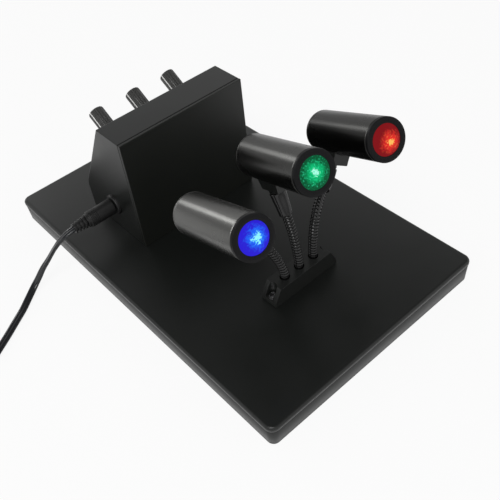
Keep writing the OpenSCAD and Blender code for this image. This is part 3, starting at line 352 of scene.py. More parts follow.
# %% [markdown]
# ## The power lead
#
# The lead is a flat twin lead 5.4 mm wide. The photograph shows it leave the plug, run over the
# edge of the base and along the table. The rest is wound as a small coil outside the view.
# The route repeats the CAD model's points; the coil is a formula. It's a mesh tube, because a
# curve's round bevel can't give the waist between the two cores.

# %% Route of the lead
CORD_WIDTH = 5.4
CORD_THICK = 2.7
LEAD_ROUTE = [
    (-87, 56, 41), (-91, 56.5, 40), (-95, 57.5, 38), (-98.5, 59, 35), (-101.5, 60.5, 31.5), (-104, 62, 28),
    (-109, 64.5, 21), (-114, 66, 15.5), (-119.5, 66, 10), (-125, 65, 6), (-133.5, 60.5, 3), (-140, 56, 2),
    (-148, 50.5, 2), (-159, 43, 2), (-170, 36, 2), (-181, 29, 2), (-191, 23, 2), (-202, 18, 2), (-213, 16, 2),
]
TAIL_STEPS = [(0, 0, 0), (0, 10, 0.2), (0, 20, 1.4), (0, 30, 2.6)]
COIL_CENTRE = (-213, 53.5)
COIL_RADIUS = 37.5
COIL_GAP = 0.6
COIL_LOW = 2
TURNS_IN = 2.5
CLIMB = 0.5
TURNS_OUT = 2.25
CLIMB_BOW = 1.6


def coil_point(turn):
    step = CORD_WIDTH + COIL_GAP
    layer = CORD_THICK + COIL_GAP
    inner = COIL_RADIUS - TURNS_IN * step
    rise = min(max((turn - TURNS_IN) / CLIMB, 0), 1)
    reach = COIL_RADIUS - turn * step
    if turn >= TURNS_IN:
        reach = inner - CLIMB_BOW * (1 - math.cos(2 * math.pi * rise)) / 2
    if turn >= TURNS_IN + CLIMB:
        reach = inner + (turn - TURNS_IN - CLIMB) * step
    height = COIL_LOW + layer * (1 - math.cos(math.pi * rise)) / 2
    angle = math.radians(-90 - 360 * turn)
    return Vector((COIL_CENTRE[0] + reach * math.cos(angle), COIL_CENTRE[1] + reach * math.sin(angle), height))


def smooth_line(points, steps):
    """A smooth curve through the points, with each stretch cut into the same number of steps."""
    points = [Vector(p) for p in points]
    line = []
    for i in range(len(points) - 1):
        before = points[max(i - 1, 0)]
        after = points[min(i + 2, len(points) - 1)]
        start, end = points[i], points[i + 1]
        for s in range(steps):
            t = s / steps
            line.append(
                0.5 * (2 * start + (end - before) * t + (2 * before - 5 * start + 4 * end - after) * t ** 2
                       + (3 * start - before - 3 * end + after) * t ** 3)
            )
    line.append(points[-1])
    return line


coil_turns = TURNS_IN + CLIMB + TURNS_OUT
coil_steps = round(coil_turns * 48)
coil_line = [coil_point(k * coil_turns / coil_steps) for k in range(coil_steps + 1)]
tail_line = smooth_line([coil_line[-1] + Vector(p) for p in TAIL_STEPS], 4)
cord_line = smooth_line(LEAD_ROUTE, 4)[:-1] + coil_line + tail_line[1:]

# %% [markdown]
# ### Its section
#
# Two round cores lie side by side with a shallow waist between them, so light runs along each
# core as its own thin line, as it does in the photograph.

# %% The twin lead
def twin_section(count=28, waist=0.22):
    outline = []
    for k in range(count):
        angle = 2 * math.pi * k / count
        across = CORD_WIDTH / 2 * math.cos(angle)
        lobe = 1 - waist * math.exp(-((across / (CORD_WIDTH * 0.12)) ** 2))
        up = CORD_THICK / 2 * math.copysign(abs(math.sin(angle)) ** 0.72, math.sin(angle)) * lobe
        outline.append((across, up))
    return outline


def headings_along(line):
    headings = []
    for i in range(len(line)):
        headings.append((line[min(i + 1, len(line) - 1)] - line[max(i - 1, 0)]).normalized())
    return headings


section = twin_section()
cord_headings = headings_along(cord_line)
cord_headings[0] = Vector((-1, 0, 0))
twin_lead = swept("twin_lead", cord_line, cord_headings, lambda i: section, sharp=60)
dress(twin_lead, sheath, "ray_box", "cord", "cord_lead", "cord_coil", "cord_tail")
print("twin lead faces:", len(twin_lead.data.polygons))

# %% [markdown]
# ## The base
#
# The base is one deep tray, open below. Its rim is what catches the eye: an upright band with a
# bevel above it and a dark groove under it. A stack of rounded rectangles gives all of these
# edges, and a return inside makes it a real wall rather than a block.

# %% Base sizes
BASE_WIDTH = 178.6
BASE_LENGTH = 280.5
BASE_CORNER = 5.5
DECK = 19.0
BASE_WALL = 2.5
DECK_SHEET = 3.0
LIP_BEVEL = 1.4
LIP_Z = 15.2
GROOVE_Z = 14.5
SKIRT_Z = 1.2
CORNER_STEPS = 10


def rounded_rectangle(width, length, corner):
    outline = []
    for quarter, (sx, sy) in enumerate([(1, 1), (-1, 1), (-1, -1), (1, -1)]):
        for k in range(CORNER_STEPS + 1):
            angle = math.pi / 2 * (quarter + k / CORNER_STEPS)
            x = sx * (width / 2 - corner) + corner * math.cos(angle)
            y = sy * (length / 2 - corner) + corner * math.sin(angle)
            outline.append((x, y))
    return outline


# %% Base moulding
def base_moulding():
    inner = BASE_WALL + 0.6
    levels = [
        (inner, DECK - DECK_SHEET), (inner, SKIRT_Z + 0.2), (1.5, SKIRT_Z), (1.05, SKIRT_Z), (0.9, SKIRT_Z + 0.25),
        (0.35, GROOVE_Z - 0.2), (0.5, GROOVE_Z), (0.8, GROOVE_Z + 0.05), (0.8, LIP_Z - 0.05), (0.2, LIP_Z),
        (0.0, LIP_Z + 0.25), (0.0, DECK - LIP_BEVEL - 0.2), (0.12, DECK - LIP_BEVEL + 0.1), (0.45, DECK - 0.75),
        (0.85, DECK - 0.3), (1.35, DECK - 0.06), (1.8, DECK),
    ]
    points, rings = [], []
    for inset, z in levels:
        corner = max(BASE_CORNER - inset, 1.0)
        ring = []
        for x, y in rounded_rectangle(BASE_WIDTH - 2 * inset, BASE_LENGTH - 2 * inset, corner):
            ring.append(len(points))
            points.append((x, y, z))
        rings.append(ring)
    faces = wall(rings)
    faces.append(tuple(reversed(rings[0])))
    faces.append(tuple(rings[-1]))
    return piece("base_moulding", points, faces, sharp=40)


base = dress(base_moulding(), moulding, "ray_box", "moulding", "base_shell")
print("base:", len(base.data.polygons), "faces")

# %% [markdown]
# ## The console
#
# A thin shell with a level top, a long slope for the knobs and an upright rear. It's drawn from
# its side outline, given a wall with Solidify, and its corners are rolled with Bevel, because a
# moulded corner that has no radius never catches light.

# %% Console sizes
SIDE_MIDDLE = -3.5
CONSOLE_WIDTH = 98.6
CONSOLE_HEIGHT = 86.4
CONSOLE_DEPTH = 66.0
CONSOLE_TOP = 26.6
CONSOLE_FRONT = 25.8
CONSOLE_WALL = 2.2
FRONT_SHEET = 2.0
FRONT_GAP = 0.4
SLOPE = math.radians(31.5)
KNEE_RADIUS = 18.0


def console_outline():
    """The side outline as (y, z), from the foot of the open front, over the top and down the rear."""
    front = CONSOLE_FRONT + FRONT_SHEET + FRONT_GAP
    rear = CONSOLE_FRONT + CONSOLE_DEPTH
    top = DECK + CONSOLE_HEIGHT
    slope_y = CONSOLE_FRONT + CONSOLE_TOP
    knee_z = top - (rear - slope_y) / math.tan(SLOPE)
    cut = KNEE_RADIUS * math.tan(SLOPE / 2)
    outline = [(front, DECK), (front, top), (slope_y, top)]
    for k in range(13):
        angle = SLOPE * (1 - k / 12)
        y = rear - KNEE_RADIUS + KNEE_RADIUS * math.cos(angle)
        z = knee_z - cut + KNEE_RADIUS * math.sin(angle)
        outline.append((y, z))
    outline.append((rear, DECK))
    return outline


# %% Console shell
def console_moulding():
    outline = console_outline()
    left = SIDE_MIDDLE - CONSOLE_WIDTH / 2
    right = SIDE_MIDDLE + CONSOLE_WIDTH / 2
    count = len(outline)
    points = [(left, y, z) for y, z in outline] + [(right, y, z) for y, z in outline]
    faces = [tuple(range(count)), tuple(reversed(range(count, 2 * count)))]
    for k in range(1, count - 1):
        faces.append((k, k + count, k + 1 + count, k + 1))
    shell = piece("console_moulding", points, faces)
    walls = shell.modifiers.new("wall", "SOLIDIFY")
    walls.thickness = CONSOLE_WALL * MM
    walls.offset = -1
    walls.use_even_offset = True
    return soften(shell, 0.55)


console = dress(console_moulding(), moulding, "ray_box", "moulding", "console_shell")
print("console outline points:", len(console_outline()))

# %% [markdown]
# ### Its front cover
#
# A flat sheet closes the front. A shadow gap runs all round it, and its register frame shows as
# a dark line in that gap.


# %% Front cover
def slab_points(low, high):
    return [(x, y, z) for z in (low[2], high[2]) for y in (low[1], high[1]) for x in (low[0], high[0])]


SLAB_FACES = [(0, 2, 3, 1), (4, 5, 7, 6), (0, 1, 5, 4), (1, 3, 7, 5), (3, 2, 6, 7), (2, 0, 4, 6)]


def slabs(name, boxes):
    """One piece of several rectangular blocks, each given by two opposite corners."""
    points, faces = [], []
    for low, high in boxes:
        start = len(points)
        points += slab_points(low, high)
        faces += [tuple(start + n for n in face) for face in SLAB_FACES]
    return piece(name, points, faces)


half = CONSOLE_WIDTH / 2
frame_half = half - CONSOLE_WALL - 0.15
top_z = DECK + CONSOLE_HEIGHT
front_cover = slabs("front_sheet", [
    ((SIDE_MIDDLE - half, CONSOLE_FRONT, DECK), (SIDE_MIDDLE + half, CONSOLE_FRONT + FRONT_SHEET, top_z)),
    ((SIDE_MIDDLE - frame_half, CONSOLE_FRONT + FRONT_SHEET - 0.5, DECK),
     (SIDE_MIDDLE + frame_half, CONSOLE_FRONT + FRONT_SHEET + 3.4, top_z - CONSOLE_WALL - 0.15)),
])
soften(front_cover, 0.35, segments=2)
dress(front_cover, front_sheet, "ray_box", "panel", "front_cover")
print("front cover:", front_cover.dimensions)

# %% [markdown]
# ## The lamps
#
# Every lamp is the same torch-like tube: turned, black anodised, with a separate front ring and
# a domed lens set deep inside it. Each is drawn upright and aimed with one matrix: the swivel
# joint gives the neck's axis, and two angles, its bearing and its tilt, give the beam's.

# %% Where a lamp lies
TUBE_RADIUS = 13.0
TUBE_WALL = 1.5
LAMP_LENGTH = 67.3
BEZEL_LENGTH = 2.2
APERTURE = 9.3
BEZEL_LIP = 0.6
SOCKET_PLACE = 12.0
NECK_MOUTH = 22.4
COLOURS = ["blue", "green", "red"]
LAMP_AIM = {"blue": (-94.5, 22.0), "green": (-99.0, 22.5), "red": (-100.5, 25.0)}
joints = {joint["name"]: joint for joint in frame["joints"]}


def middle(node):
    low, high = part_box(node)
    return (low + high) / 2


def lamp_place(colour):
    """Origin at the middle of the lamp's rear, +X down to the neck, +Z along the beam."""
    swivel = joints[f"{colour}_swivel"]
    down = -Vector(swivel["axis"]).normalized()
    bearing, tilt = [math.radians(angle) for angle in LAMP_AIM[colour]]
    ahead = Vector((math.cos(tilt) * math.cos(bearing), math.cos(tilt) * math.sin(bearing), math.sin(tilt)))
    down = (down - down.dot(ahead) * ahead).normalized()
    side = ahead.cross(down)
    origin = Vector(swivel["pos_m"]) - down * NECK_MOUTH * MM - ahead * SOCKET_PLACE * MM
    turn = Matrix((down, side, ahead)).transposed().to_4x4()
    return Matrix.Translation(origin) @ turn


places = {colour: lamp_place(colour) for colour in COLOURS}
for colour, place in places.items():
    print(colour, "rear at", [round(v / MM, 1) for v in place.translation])

# %% [markdown]
# ### Tube and rear cap
#
# A turned piece is a profile and a full turn. The profile includes the small chamfers that a
# lathe leaves on each edge; without them the rim has no highlight.


# %% Lamp tubes and caps
def lamp_tube(colour):
    inner = TUBE_RADIUS - TUBE_WALL
    front = LAMP_LENGTH - BEZEL_LENGTH - 0.3
    profile = [
        (inner, 2.1), (TUBE_RADIUS - 0.25, 2.1), (TUBE_RADIUS, 2.35), (TUBE_RADIUS, 10), (TUBE_RADIUS, 30),
        (TUBE_RADIUS, 50), (TUBE_RADIUS, front - 0.25), (TUBE_RADIUS - 0.25, front), (inner, front),
    ]
    return turned(f"{colour}_lamp_tube", profile, places[colour], sides=128, loop=True)


def lamp_cap(colour):
    inner = TUBE_RADIUS - TUBE_WALL
    profile = [
        (0.0001, 0), (TUBE_RADIUS - 1.0, 0), (TUBE_RADIUS - 0.45, 0.14), (TUBE_RADIUS - 0.12, 0.5), (TUBE_RADIUS, 0.9),
        (TUBE_RADIUS, 1.8), (TUBE_RADIUS - 0.2, 2.0), (inner - 0.05, 2.0), (inner - 0.05, 5.9), (inner - 2.5, 5.9),
        (inner - 2.5, 2.0), (0.0001, 2.0),
    ]
    return turned(f"{colour}_lamp_cap", profile, places[colour], sides=128)


# Each lamp's tube and cap take its own tone, which paints the light that lamp catches.
for colour in COLOURS:
    body = f"{colour}_lamp"
    dress(lamp_tube(colour), anodised_lit[colour], body, "lamp_body", f"{colour}_tube")
    dress(lamp_cap(colour), anodised_lit[colour], body, "lamp_body", f"{colour}_rear_cap")
print("tubes and caps for", COLOURS)

# %% [markdown]
# ### Front ring and lens
#
# The ring is a narrow flat band, so it reads as a dark frame round the colour. The lens is a
# shallow dome that stands a little proud of it, and its glow is the brightest thing in the picture.


# %% Front rings and lenses
def front_ring(colour):
    inner = TUBE_RADIUS - TUBE_WALL - 0.05
    back = LAMP_LENGTH - BEZEL_LENGTH
    front = LAMP_LENGTH
    profile = [
        (inner - 1.2, back - 4.3), (inner, back - 4.3), (inner, back - 0.3), (TUBE_RADIUS - 0.6, back - 0.3),
        (TUBE_RADIUS - 0.6, back), (TUBE_RADIUS - 0.15, back), (TUBE_RADIUS, back + 0.15),
        (TUBE_RADIUS, front - 0.4), (TUBE_RADIUS - 0.12, front - 0.12), (TUBE_RADIUS - 0.4, front),
        (APERTURE + 0.3, front), (APERTURE + 0.08, front - 0.08), (APERTURE, front - 0.3),
        (APERTURE, front - BEZEL_LIP), (inner - 1.2, front - BEZEL_LIP),
    ]
    return turned(f"{colour}_front_ring", profile, places[colour], sides=128, loop=True)


def lamp_lens(colour):
    seat = LAMP_LENGTH - BEZEL_LIP - 0.02
    back = seat - 1.58
    dome_base = APERTURE - 0.15
    dome = 1.8
    rim = seat + 0.42
    ball = (dome_base ** 2 + dome ** 2) / (2 * dome)
    profile = [(0.0001, back), (10.15, back), (10.15, seat), (dome_base, seat), (dome_base, rim)]
    for k in range(1, 15):
        radius = dome_base * math.cos(math.pi / 2 * k / 14)
        height = rim + dome - ball + math.sqrt(ball ** 2 - radius ** 2)
        profile.append((max(radius, 0.0001), height))
    return turned(f"{colour}_lamp_lens", profile, places[colour], sides=96)


for colour in COLOURS:
    body = f"{colour}_lamp"
    dress(front_ring(colour), ring_black, body, "front_ring", f"{colour}_bezel")
    dress(lamp_lens(colour), lens_finish[colour], body, f"{colour}_lens", f"{colour}_lens")
print("rings and lenses made")

# %% [markdown]
# ## The goosenecks
#
# A gooseneck is a wound steel sheath under thin plastic: a close helix of rounded ribs, with a
# smooth tapered boot where it meets its lamp. Its line is one smooth curve from the bracket to
# the lamp. The ribs are a ripple of the tube's radius that advances by one pitch per turn, so
# they wind rather than stack.

# %% Lines of the necks
NECK_RADIUS = 3.0
RIB_PITCH = 2.0
RIB_HEIGHT = 0.45
NECK_END = 6.0
BOOT_LENGTH = 16.0
BOOT_RADIUS = 5.2
BOOT_TIP = 4.1
NECK_RISE = {"blue": 16, "green": 23, "red": 45}
NECK_REACH = {"blue": 14, "green": 6, "red": 14}


def neck_line(colour, count):
    low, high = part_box(f"{colour}_neck")
    lean = Vector(joints[f"{colour}_lean"]["pos_m"])
    bracket_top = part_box("lamp_bracket")[1].z
    bracket_y = middle("lamp_bracket").y
    foot = Vector((lean.x, bracket_y, bracket_top)) / MM
    mouth = Vector(joints[f"{colour}_swivel"]["pos_m"]) / MM
    down = -Vector(joints[f"{colour}_swivel"]["axis"]).normalized()
    rise = foot + Vector((0, 0, NECK_RISE[colour]))
    reach = mouth + down * NECK_REACH[colour]
    line = []
    for k in range(count + 1):
        t = k / count
        line.append((1 - t) ** 3 * foot + 3 * (1 - t) ** 2 * t * rise + 3 * (1 - t) * t * t * reach + t ** 3 * mouth)
    return line


def even_line(line, step):
    """The same line with its points a fixed step apart."""
    even = [line[0]]
    left = step
    for a, b in zip(line, line[1:]):
        length = (b - a).length
        run = 0.0
        while length - run >= left:
            run += left
            even.append(a.lerp(b, run / length))
            left = step
        left -= length - run
    return even


# %% Gooseneck sheaths
def gooseneck(colour, sides=32, steps=12):
    step = RIB_PITCH / steps
    line = even_line(neck_line(colour, 800), step)
    headings = headings_along(line)
    headings[0] = Vector((0, 0, 1))
    foot = [line[0] - headings[0] * NECK_END * k / 4 for k in range(4, 0, -1)]
    head = [line[-1] + headings[-1] * (0.05 + NECK_END * k / 4) for k in range(0, 5)]
    full = foot + line + head
    full_headings = [headings[0]] * 4 + headings + [headings[-1]] * 5
    last = len(line) - 1
    boot_rings = round(BOOT_LENGTH / step)
    root = NECK_RADIUS - RIB_HEIGHT

    def ribbed(i):
        place = i - 4
        to_mouth = last - place
        outline = []
        for k in range(sides):
            angle = 2 * math.pi * k / sides
            wave = 0.5 - 0.5 * math.cos(2 * math.pi * place / steps - angle)
            fade = min(1, max(0, place) / steps, max(0, to_mouth - boot_rings) / 3)
            radius = root + RIB_HEIGHT * fade * wave ** 0.5
            if 1 < to_mouth <= boot_rings:
                part = 1 - (to_mouth - 2) / boot_rings
                roll_in = min((boot_rings - to_mouth) * step, (to_mouth - 2) * step, 0.5) / 0.5
                radius = BOOT_TIP + (BOOT_RADIUS - BOOT_TIP) * part - 0.5 * (1 - roll_in) ** 2
            outline.append((radius * math.cos(angle), radius * math.sin(angle)))
        return outline

    return swept(f"{colour}_gooseneck_sheath", full, full_headings, ribbed, upright=(0, 1, 0), sharp=50)


for colour in COLOURS:
    sheath_piece = dress(gooseneck(colour), neck_sheath, None, "gooseneck", f"{colour}_neck")
    line = neck_line(colour, 20)
    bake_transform(sheath_piece)
    print(colour, "neck:", len(sheath_piece.data.polygons), "faces")

# %% [markdown]
# ### The leads inside
#
# Each lamp has its own thin lead, which runs up the bore of its neck. The last stretch, inside the
# lamp, is a piece of its own that turns with the lamp; the two meet on the swivel's axis, where
# turning moves nothing.


# %% Lamp leads
def round_section(radius, sides=16):
    return [(radius * math.cos(2 * math.pi * k / sides), radius * math.sin(2 * math.pi * k / sides)) for k in range(sides)]


def lamp_point(colour, x, z):
    return (places[colour] @ Vector((x * MM, 0, z * MM))) / MM


for colour in COLOURS:
    line = neck_line(colour, 60)
    foot = line[0]
    below = [Vector((foot.x, foot.y, 11)), Vector((foot.x, foot.y, 18)), foot - Vector((0, 0, NECK_END))]
    route = smooth_line(below + line[::4] + [lamp_point(colour, 16, 12)], 4)
    wire_piece = swept(
        f"{colour}_inner_lead", route, headings_along(route), lambda i: round_section(0.9), (0.05, 1, 0.02)
    )
    dress(wire_piece, sheath, None, "lamp_lead", f"{colour}_lead")
    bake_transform(wire_piece)
    corner = [lamp_point(colour, x, z) for x, z in [(16, 12), (10.5, 12.2), (7.7, 15), (7, 18), (7, 35.7)]]
    route = smooth_line(corner, 6)
    headings = headings_along(route)
    headings[0] = Vector(joints[f"{colour}_swivel"]["axis"]).normalized()
    end_piece = swept(f"{colour}_lead_end", route, headings, lambda i: round_section(0.9), (0.05, 1, 0.02))
    dress(end_piece, sheath, f"{colour}_lamp", "lamp_lead")
print("leads inside the necks:", len(COLOURS))

# %% [markdown]
# ## Saddles and bracket
#
# A saddle under each tube carries the neck's socket. The bracket is a block with sloping ends,
# and a pocket in each end for the screw that holds it down. Both are cut from a solid with
# Boolean modifiers, which are applied at once, and then every edge is rolled.


# %% Cutting tool
def carved(body, cutters, width, segments=3):
    """Cuts the cutters out of the body, removes them and rolls the edges that are left."""
    for cutter in cutters:
        cut = body.modifiers.new("cut", "BOOLEAN")
        cut.operation = "DIFFERENCE"
        cut.solver = "EXACT"
        cut.object = cutter
    graph = bpy.context.evaluated_depsgraph_get()
    result = bpy.data.meshes.new_from_object(body.evaluated_get(graph))
    body.modifiers.clear()
    body.data = result
    for cutter in cutters:
        bpy.data.objects.remove(cutter)
    result.shade_smooth()
    result.set_sharp_from_angle(angle=math.radians(35))
    return soften(body, width, segments, 40)


def pulled(name, outline, low, high, place=None):
    """A prism: the outline is a list of (x, z), and it runs from low to high along Y."""
    count = len(outline)
    points = [(x, low, z) for x, z in outline] + [(x, high, z) for x, z in outline]
    faces = [tuple(range(count)), tuple(reversed(range(count, 2 * count)))]
    for k in range(count):
        m = (k + 1) % count
        faces.append((k, k + count, m + count, m))
    return piece(name, points, faces, place)


def rod(name, radius, low, high, place, sides=64):
    return turned(name, [(radius, low), (radius, high)], place, sides)


def upright(x, y, z):
    return Matrix.Translation(Vector((x, y, z)) * MM)


# %% Saddles
SADDLE_WIDTH = 11.0
SADDLE_OUTLINE = [(11, 3), (19.75, 5), (19.75, 24), (11, 26)]
SOCKET_RADIUS = 4.8


def saddle(colour):
    place = places[colour]
    block = pulled(f"{colour}_saddle", SADDLE_OUTLINE, -SADDLE_WIDTH / 2, SADDLE_WIDTH / 2, place)
    across = place @ Matrix.Rotation(math.radians(90), 4, "Y")
    socket_place = place @ Matrix.Translation(Vector((0, 0, SOCKET_PLACE)) * MM) @ Matrix.Rotation(math.radians(90), 4, "Y")
    screw_place = place @ Matrix.Translation(Vector((0, 0, 20)) * MM) @ Matrix.Rotation(math.radians(90), 4, "Y")
    tube_cut = rod("tube_cut", TUBE_RADIUS + 0.02, -1, LAMP_LENGTH, place, 128)
    screw_cut = rod("screw_cut", 1.75, 16.25, 24, screw_place, 32)
    block = carved(block, [tube_cut, screw_cut], 0.5)
    socket = turned(f"{colour}_neck_socket", [
        (3.3, 16.2), (3.3, 22.3), (3.4, 22.4), (4.4, 22.4), (4.7, 22.28), (SOCKET_RADIUS, 22.0), (SOCKET_RADIUS, 16.2),
    ], socket_place, sides=64, loop=True)
    dress(block, moulding, f"{colour}_lamp", "moulding", f"{colour}_clip")
    dress(socket, moulding, f"{colour}_lamp", "moulding")
    return block


for colour in COLOURS:
    print(colour, "saddle:", len(saddle(colour).data.polygons), "faces")

# %% Bracket
BRACKET_FOOT = 54.0
BRACKET_TOP = 44.0
BRACKET_DEPTH = 13.0
BRACKET_HEIGHT = 13.0
BRACKET_TOE = 3.0
BRACKET_SIDE = -0.8
BRACKET_PLACE = -72.5
BRACKET_SCREW = 23.6
POCKET = 3.4
NECK_PITCH = 12.5


def lamp_bracket():
    f, t = BRACKET_FOOT / 2, BRACKET_TOP / 2
    outline = [(-f, 0), (f, 0), (f, BRACKET_TOE), (t, BRACKET_HEIGHT), (-t, BRACKET_HEIGHT), (-f, BRACKET_TOE)]
    place = upright(BRACKET_SIDE, BRACKET_PLACE, DECK)
    block = pulled("neck_bracket", outline, -BRACKET_DEPTH / 2, BRACKET_DEPTH / 2, place)
    cutters = []
    for side in (-1, 1):
        x = side * BRACKET_SCREW
        pocket = rounded_rectangle(2 * POCKET + 8, 2 * POCKET, POCKET - 0.01)
        points = [(px + x + side * 4, py, z) for z in (3, 20) for px, py in pocket]
        count = len(pocket)
        faces = wall([list(range(count)), list(range(count, 2 * count))])
        faces += [tuple(reversed(range(count))), tuple(range(count, 2 * count))]
        cutters.append(piece("pocket_cut", points, faces, place))
        cutters.append(rod("hole_cut", 1.45, -1, 4, place @ upright(x, 0, 0), 32))
    for k in (-1, 0, 1):
        cutters.append(rod("neck_cut", 3.3, BRACKET_HEIGHT - NECK_END - 0.15, 20, place @ upright(k * NECK_PITCH, 0, 0)))
        cutters.append(rod("lead_cut", 1.4, -1, 10, place @ upright(k * NECK_PITCH, 0, 0), 24))
    return carved(block, cutters, 0.45)


bracket = dress(lamp_bracket(), bracket_moulding, "ray_box", "moulding", "lamp_bracket")
print("bracket:", len(bracket.data.polygons), "faces")

# %% [markdown]
# ## The knobs
#
# Fine flutes run up each knob, and the top is a shallow crown with a rolled edge. A thin white
# strip runs up the side and over the crown's edge, at the same angle on every knob.

# %% Knob sizes
KNOB_RADIUS = 5.6
KNOB_HEIGHT = 20.6
KNOB_FLUTES = 18
KNOB_LIFT = 3.0
KNOB_PITCH = 30.2
KNOB_DROP = 28.0
FLUTE_DEPTH = 0.36
STRIPE_ANGLE = 205


def slope_place(offset):
    """On the sloping face at one knob's axis: +Y down the slope and +Z out of it."""
    reach = CONSOLE_TOP + KNOB_DROP * math.sin(SLOPE)
    height = CONSOLE_HEIGHT - KNOB_DROP * math.cos(SLOPE)
    turn = Matrix.Rotation(SLOPE - math.pi / 2, 4, "X")
    return upright(SIDE_MIDDLE + offset, CONSOLE_FRONT + reach, DECK + height) @ turn


# %% Fluted knob
def fluted_knob(name, place):
    per_flute = 10
    sides = KNOB_FLUTES * per_flute
    levels = [
        (3.8, 2.6, 0), (3.8, 0.0, 0), (KNOB_RADIUS - 0.3, 0.0, 0), (KNOB_RADIUS - 0.08, 0.08, 0.5), (KNOB_RADIUS, 0.3, 1),
        (KNOB_RADIUS, 6, 1), (KNOB_RADIUS, 12, 1), (KNOB_RADIUS, KNOB_HEIGHT - 1.1, 1),
        (KNOB_RADIUS - 0.12, KNOB_HEIGHT - 0.62, 1), (KNOB_RADIUS - 0.4, KNOB_HEIGHT - 0.25, 0.7),
        (KNOB_RADIUS - 0.8, KNOB_HEIGHT - 0.06, 0.2), (KNOB_RADIUS - 1.2, KNOB_HEIGHT, 0),
        (KNOB_RADIUS - 1.5, KNOB_HEIGHT - 0.05, 0), (KNOB_RADIUS - 1.7, KNOB_HEIGHT - 0.22, 0),
        (KNOB_RADIUS - 3.2, KNOB_HEIGHT - 0.28, 0),
    ]
    points, rings = [], []
    for radius, height, share in levels:
        ring = []
        for k in range(sides):
            angle = 2 * math.pi * k / sides
            across = (k % per_flute - per_flute / 2) / (per_flute * 0.26)
            dip = FLUTE_DEPTH * share * max(0.0, 1 - across * across) ** 0.5
            r = radius - dip
            ring.append(len(points))
            points.append((r * math.cos(angle), r * math.sin(angle), height))
        rings.append(ring)
    faces = wall(rings)
    faces.append(tuple(reversed(rings[0])))
    faces.append(tuple(rings[-1]))
    return piece(name, points, faces, place, sharp=50)


def side_stripe(name, place):
    """A thin white strip up the side and over the edge of the crown."""
    half_width = 0.42
    path = [
        (KNOB_RADIUS + 0.02, 1.2), (KNOB_RADIUS + 0.02, KNOB_HEIGHT - 1.1), (KNOB_RADIUS - 0.10, KNOB_HEIGHT - 0.6),
        (KNOB_RADIUS - 0.38, KNOB_HEIGHT - 0.22), (KNOB_RADIUS - 0.8, KNOB_HEIGHT - 0.03),
        (KNOB_RADIUS - 1.2, KNOB_HEIGHT + 0.0),
    ]
    turn = Matrix.Rotation(math.radians(STRIPE_ANGLE), 4, "Z")
    points, faces = [], []
    for layer in (0.0, -0.25):
        for radius, height in path:
            for side in (-half_width, half_width):
                drop = layer if radius > KNOB_RADIUS - 0.5 else 0
                points.append(turn @ Vector((radius + drop, side, height + (layer if radius <= KNOB_RADIUS - 0.5 else 0))))
    count = len(path)
    for k in range(count - 1):
        faces.append((2 * k, 2 * k + 1, 2 * k + 3, 2 * k + 2))
        a = 2 * (k + count)
        faces.append((a, a + 2, a + 3, a + 1))
        faces.append((2 * k, 2 * k + 2, a + 2, a))
        faces.append((2 * k + 1, a + 1, a + 3, 2 * k + 3))
    last = 2 * (count - 1)
    faces.append((0, 2 * count, 2 * count + 1, 1))
    faces.append((last, last + 1, last + 1 + 2 * count, last + 2 * count))
    return piece(name, points, faces, place)


for number, offset in enumerate((-KNOB_PITCH, 0, KNOB_PITCH), 1):
    place = slope_place(offset) @ Matrix.Translation(Vector((0, 0, KNOB_LIFT)) * MM)
    knob = fluted_knob(f"fluted_knob_{number}", place)
    dress(knob, knob_plastic, f"knob_{number}_turn", "moulding", f"knob_{number}")
    stripe_piece = side_stripe(f"side_stripe_{number}", place)
    dress(stripe_piece, white_stripe_finish, f"knob_{number}_turn", "moulding")
    print(knob.name, len(knob.data.polygons), "faces")

# %% [markdown]
# ## The plug and its socket
#
# The moulded plug has a plain front, fine grip rings, a short collar and a slotted strain
# relief. The relief's slots let it bend, so its last blocks stand apart.

# %% Plug and socket
JACK_Y = 56.0
JACK_HEIGHT = 41.0
jack_place = Matrix(((0, 0, -1, 0), (0, 1, 0, 0), (1, 0, 0, 0), (0, 0, 0, 1)))
jack_place = upright(SIDE_MIDDLE - CONSOLE_WIDTH / 2, JACK_Y, JACK_HEIGHT) @ jack_place


def moulded_plug():
    profile = [(1.05, -7), (2.7, -7), (2.75, -6.8), (2.75, 2.8), (5.0, 2.8), (5.5, 2.95), (5.75, 3.3), (5.8, 3.8), (5.8, 15.4)]
    for k in range(5):
        start = 15.7 + k * 1.25
        profile += [(5.8, start), (5.72, start + 0.06), (5.45, start + 0.2), (5.45, start + 0.42), (5.72, start + 0.56),
                    (5.8, start + 0.62)]
    profile += [(5.8, 21.9), (5.72, 22.1), (5.5, 22.2), (4.95, 22.25), (4.9, 22.4), (4.9, 23.95), (4.75, 24.15), (2.9, 24.2)]
    for k in range(4):
        start = 24.2 + k * 2.5
        radius = 4.4 - 0.25 * k
        profile += [(2.9, start + 1.0), (radius - 0.15, start + 1.0), (radius, start + 1.15), (radius, start + 2.3),
                    (radius - 0.15, start + 2.5)]
        profile.append((0.0001, start + 2.5) if k == 3 else (2.9, start + 2.5))
    return turned("moulded_plug", profile, jack_place, sides=96)


def panel_socket():
    profile = [
        (2.85, -10), (2.85, 1.9), (3.05, 2.15), (3.7, 2.2), (6.9, 2.2), (7.25, 2.1), (7.45, 1.8), (7.5, 1.4), (7.5, 0),
        (5.5, 0), (5.5, -13), (1, -13), (1, -0.6), (0.6, -0.2), (0.0001, -0.15),
    ]
    return turned("panel_socket", list(reversed(profile)), jack_place, sides=96)


plug = dress(moulded_plug(), rubber, "ray_box", "cord", "dc_plug")
socket = dress(panel_socket(), rubber, "ray_box", "cord", "dc_jack")
print("plug and socket:", len(plug.data.polygons) + len(socket.data.polygons), "faces")

# %% [markdown]
# ## The adapter and the coil's tie
#
# The far end of the lead is an ordinary plug-top adapter, two shells with a parting line. The
# tie is a thin band closed round the turns of the coil.

# %% Adapter
ADAPTER_SIZE = (34.0, 44.0, 27.0)
ADAPTER_CORNER = 4.0
ADAPTER_RELIEF = 8.0


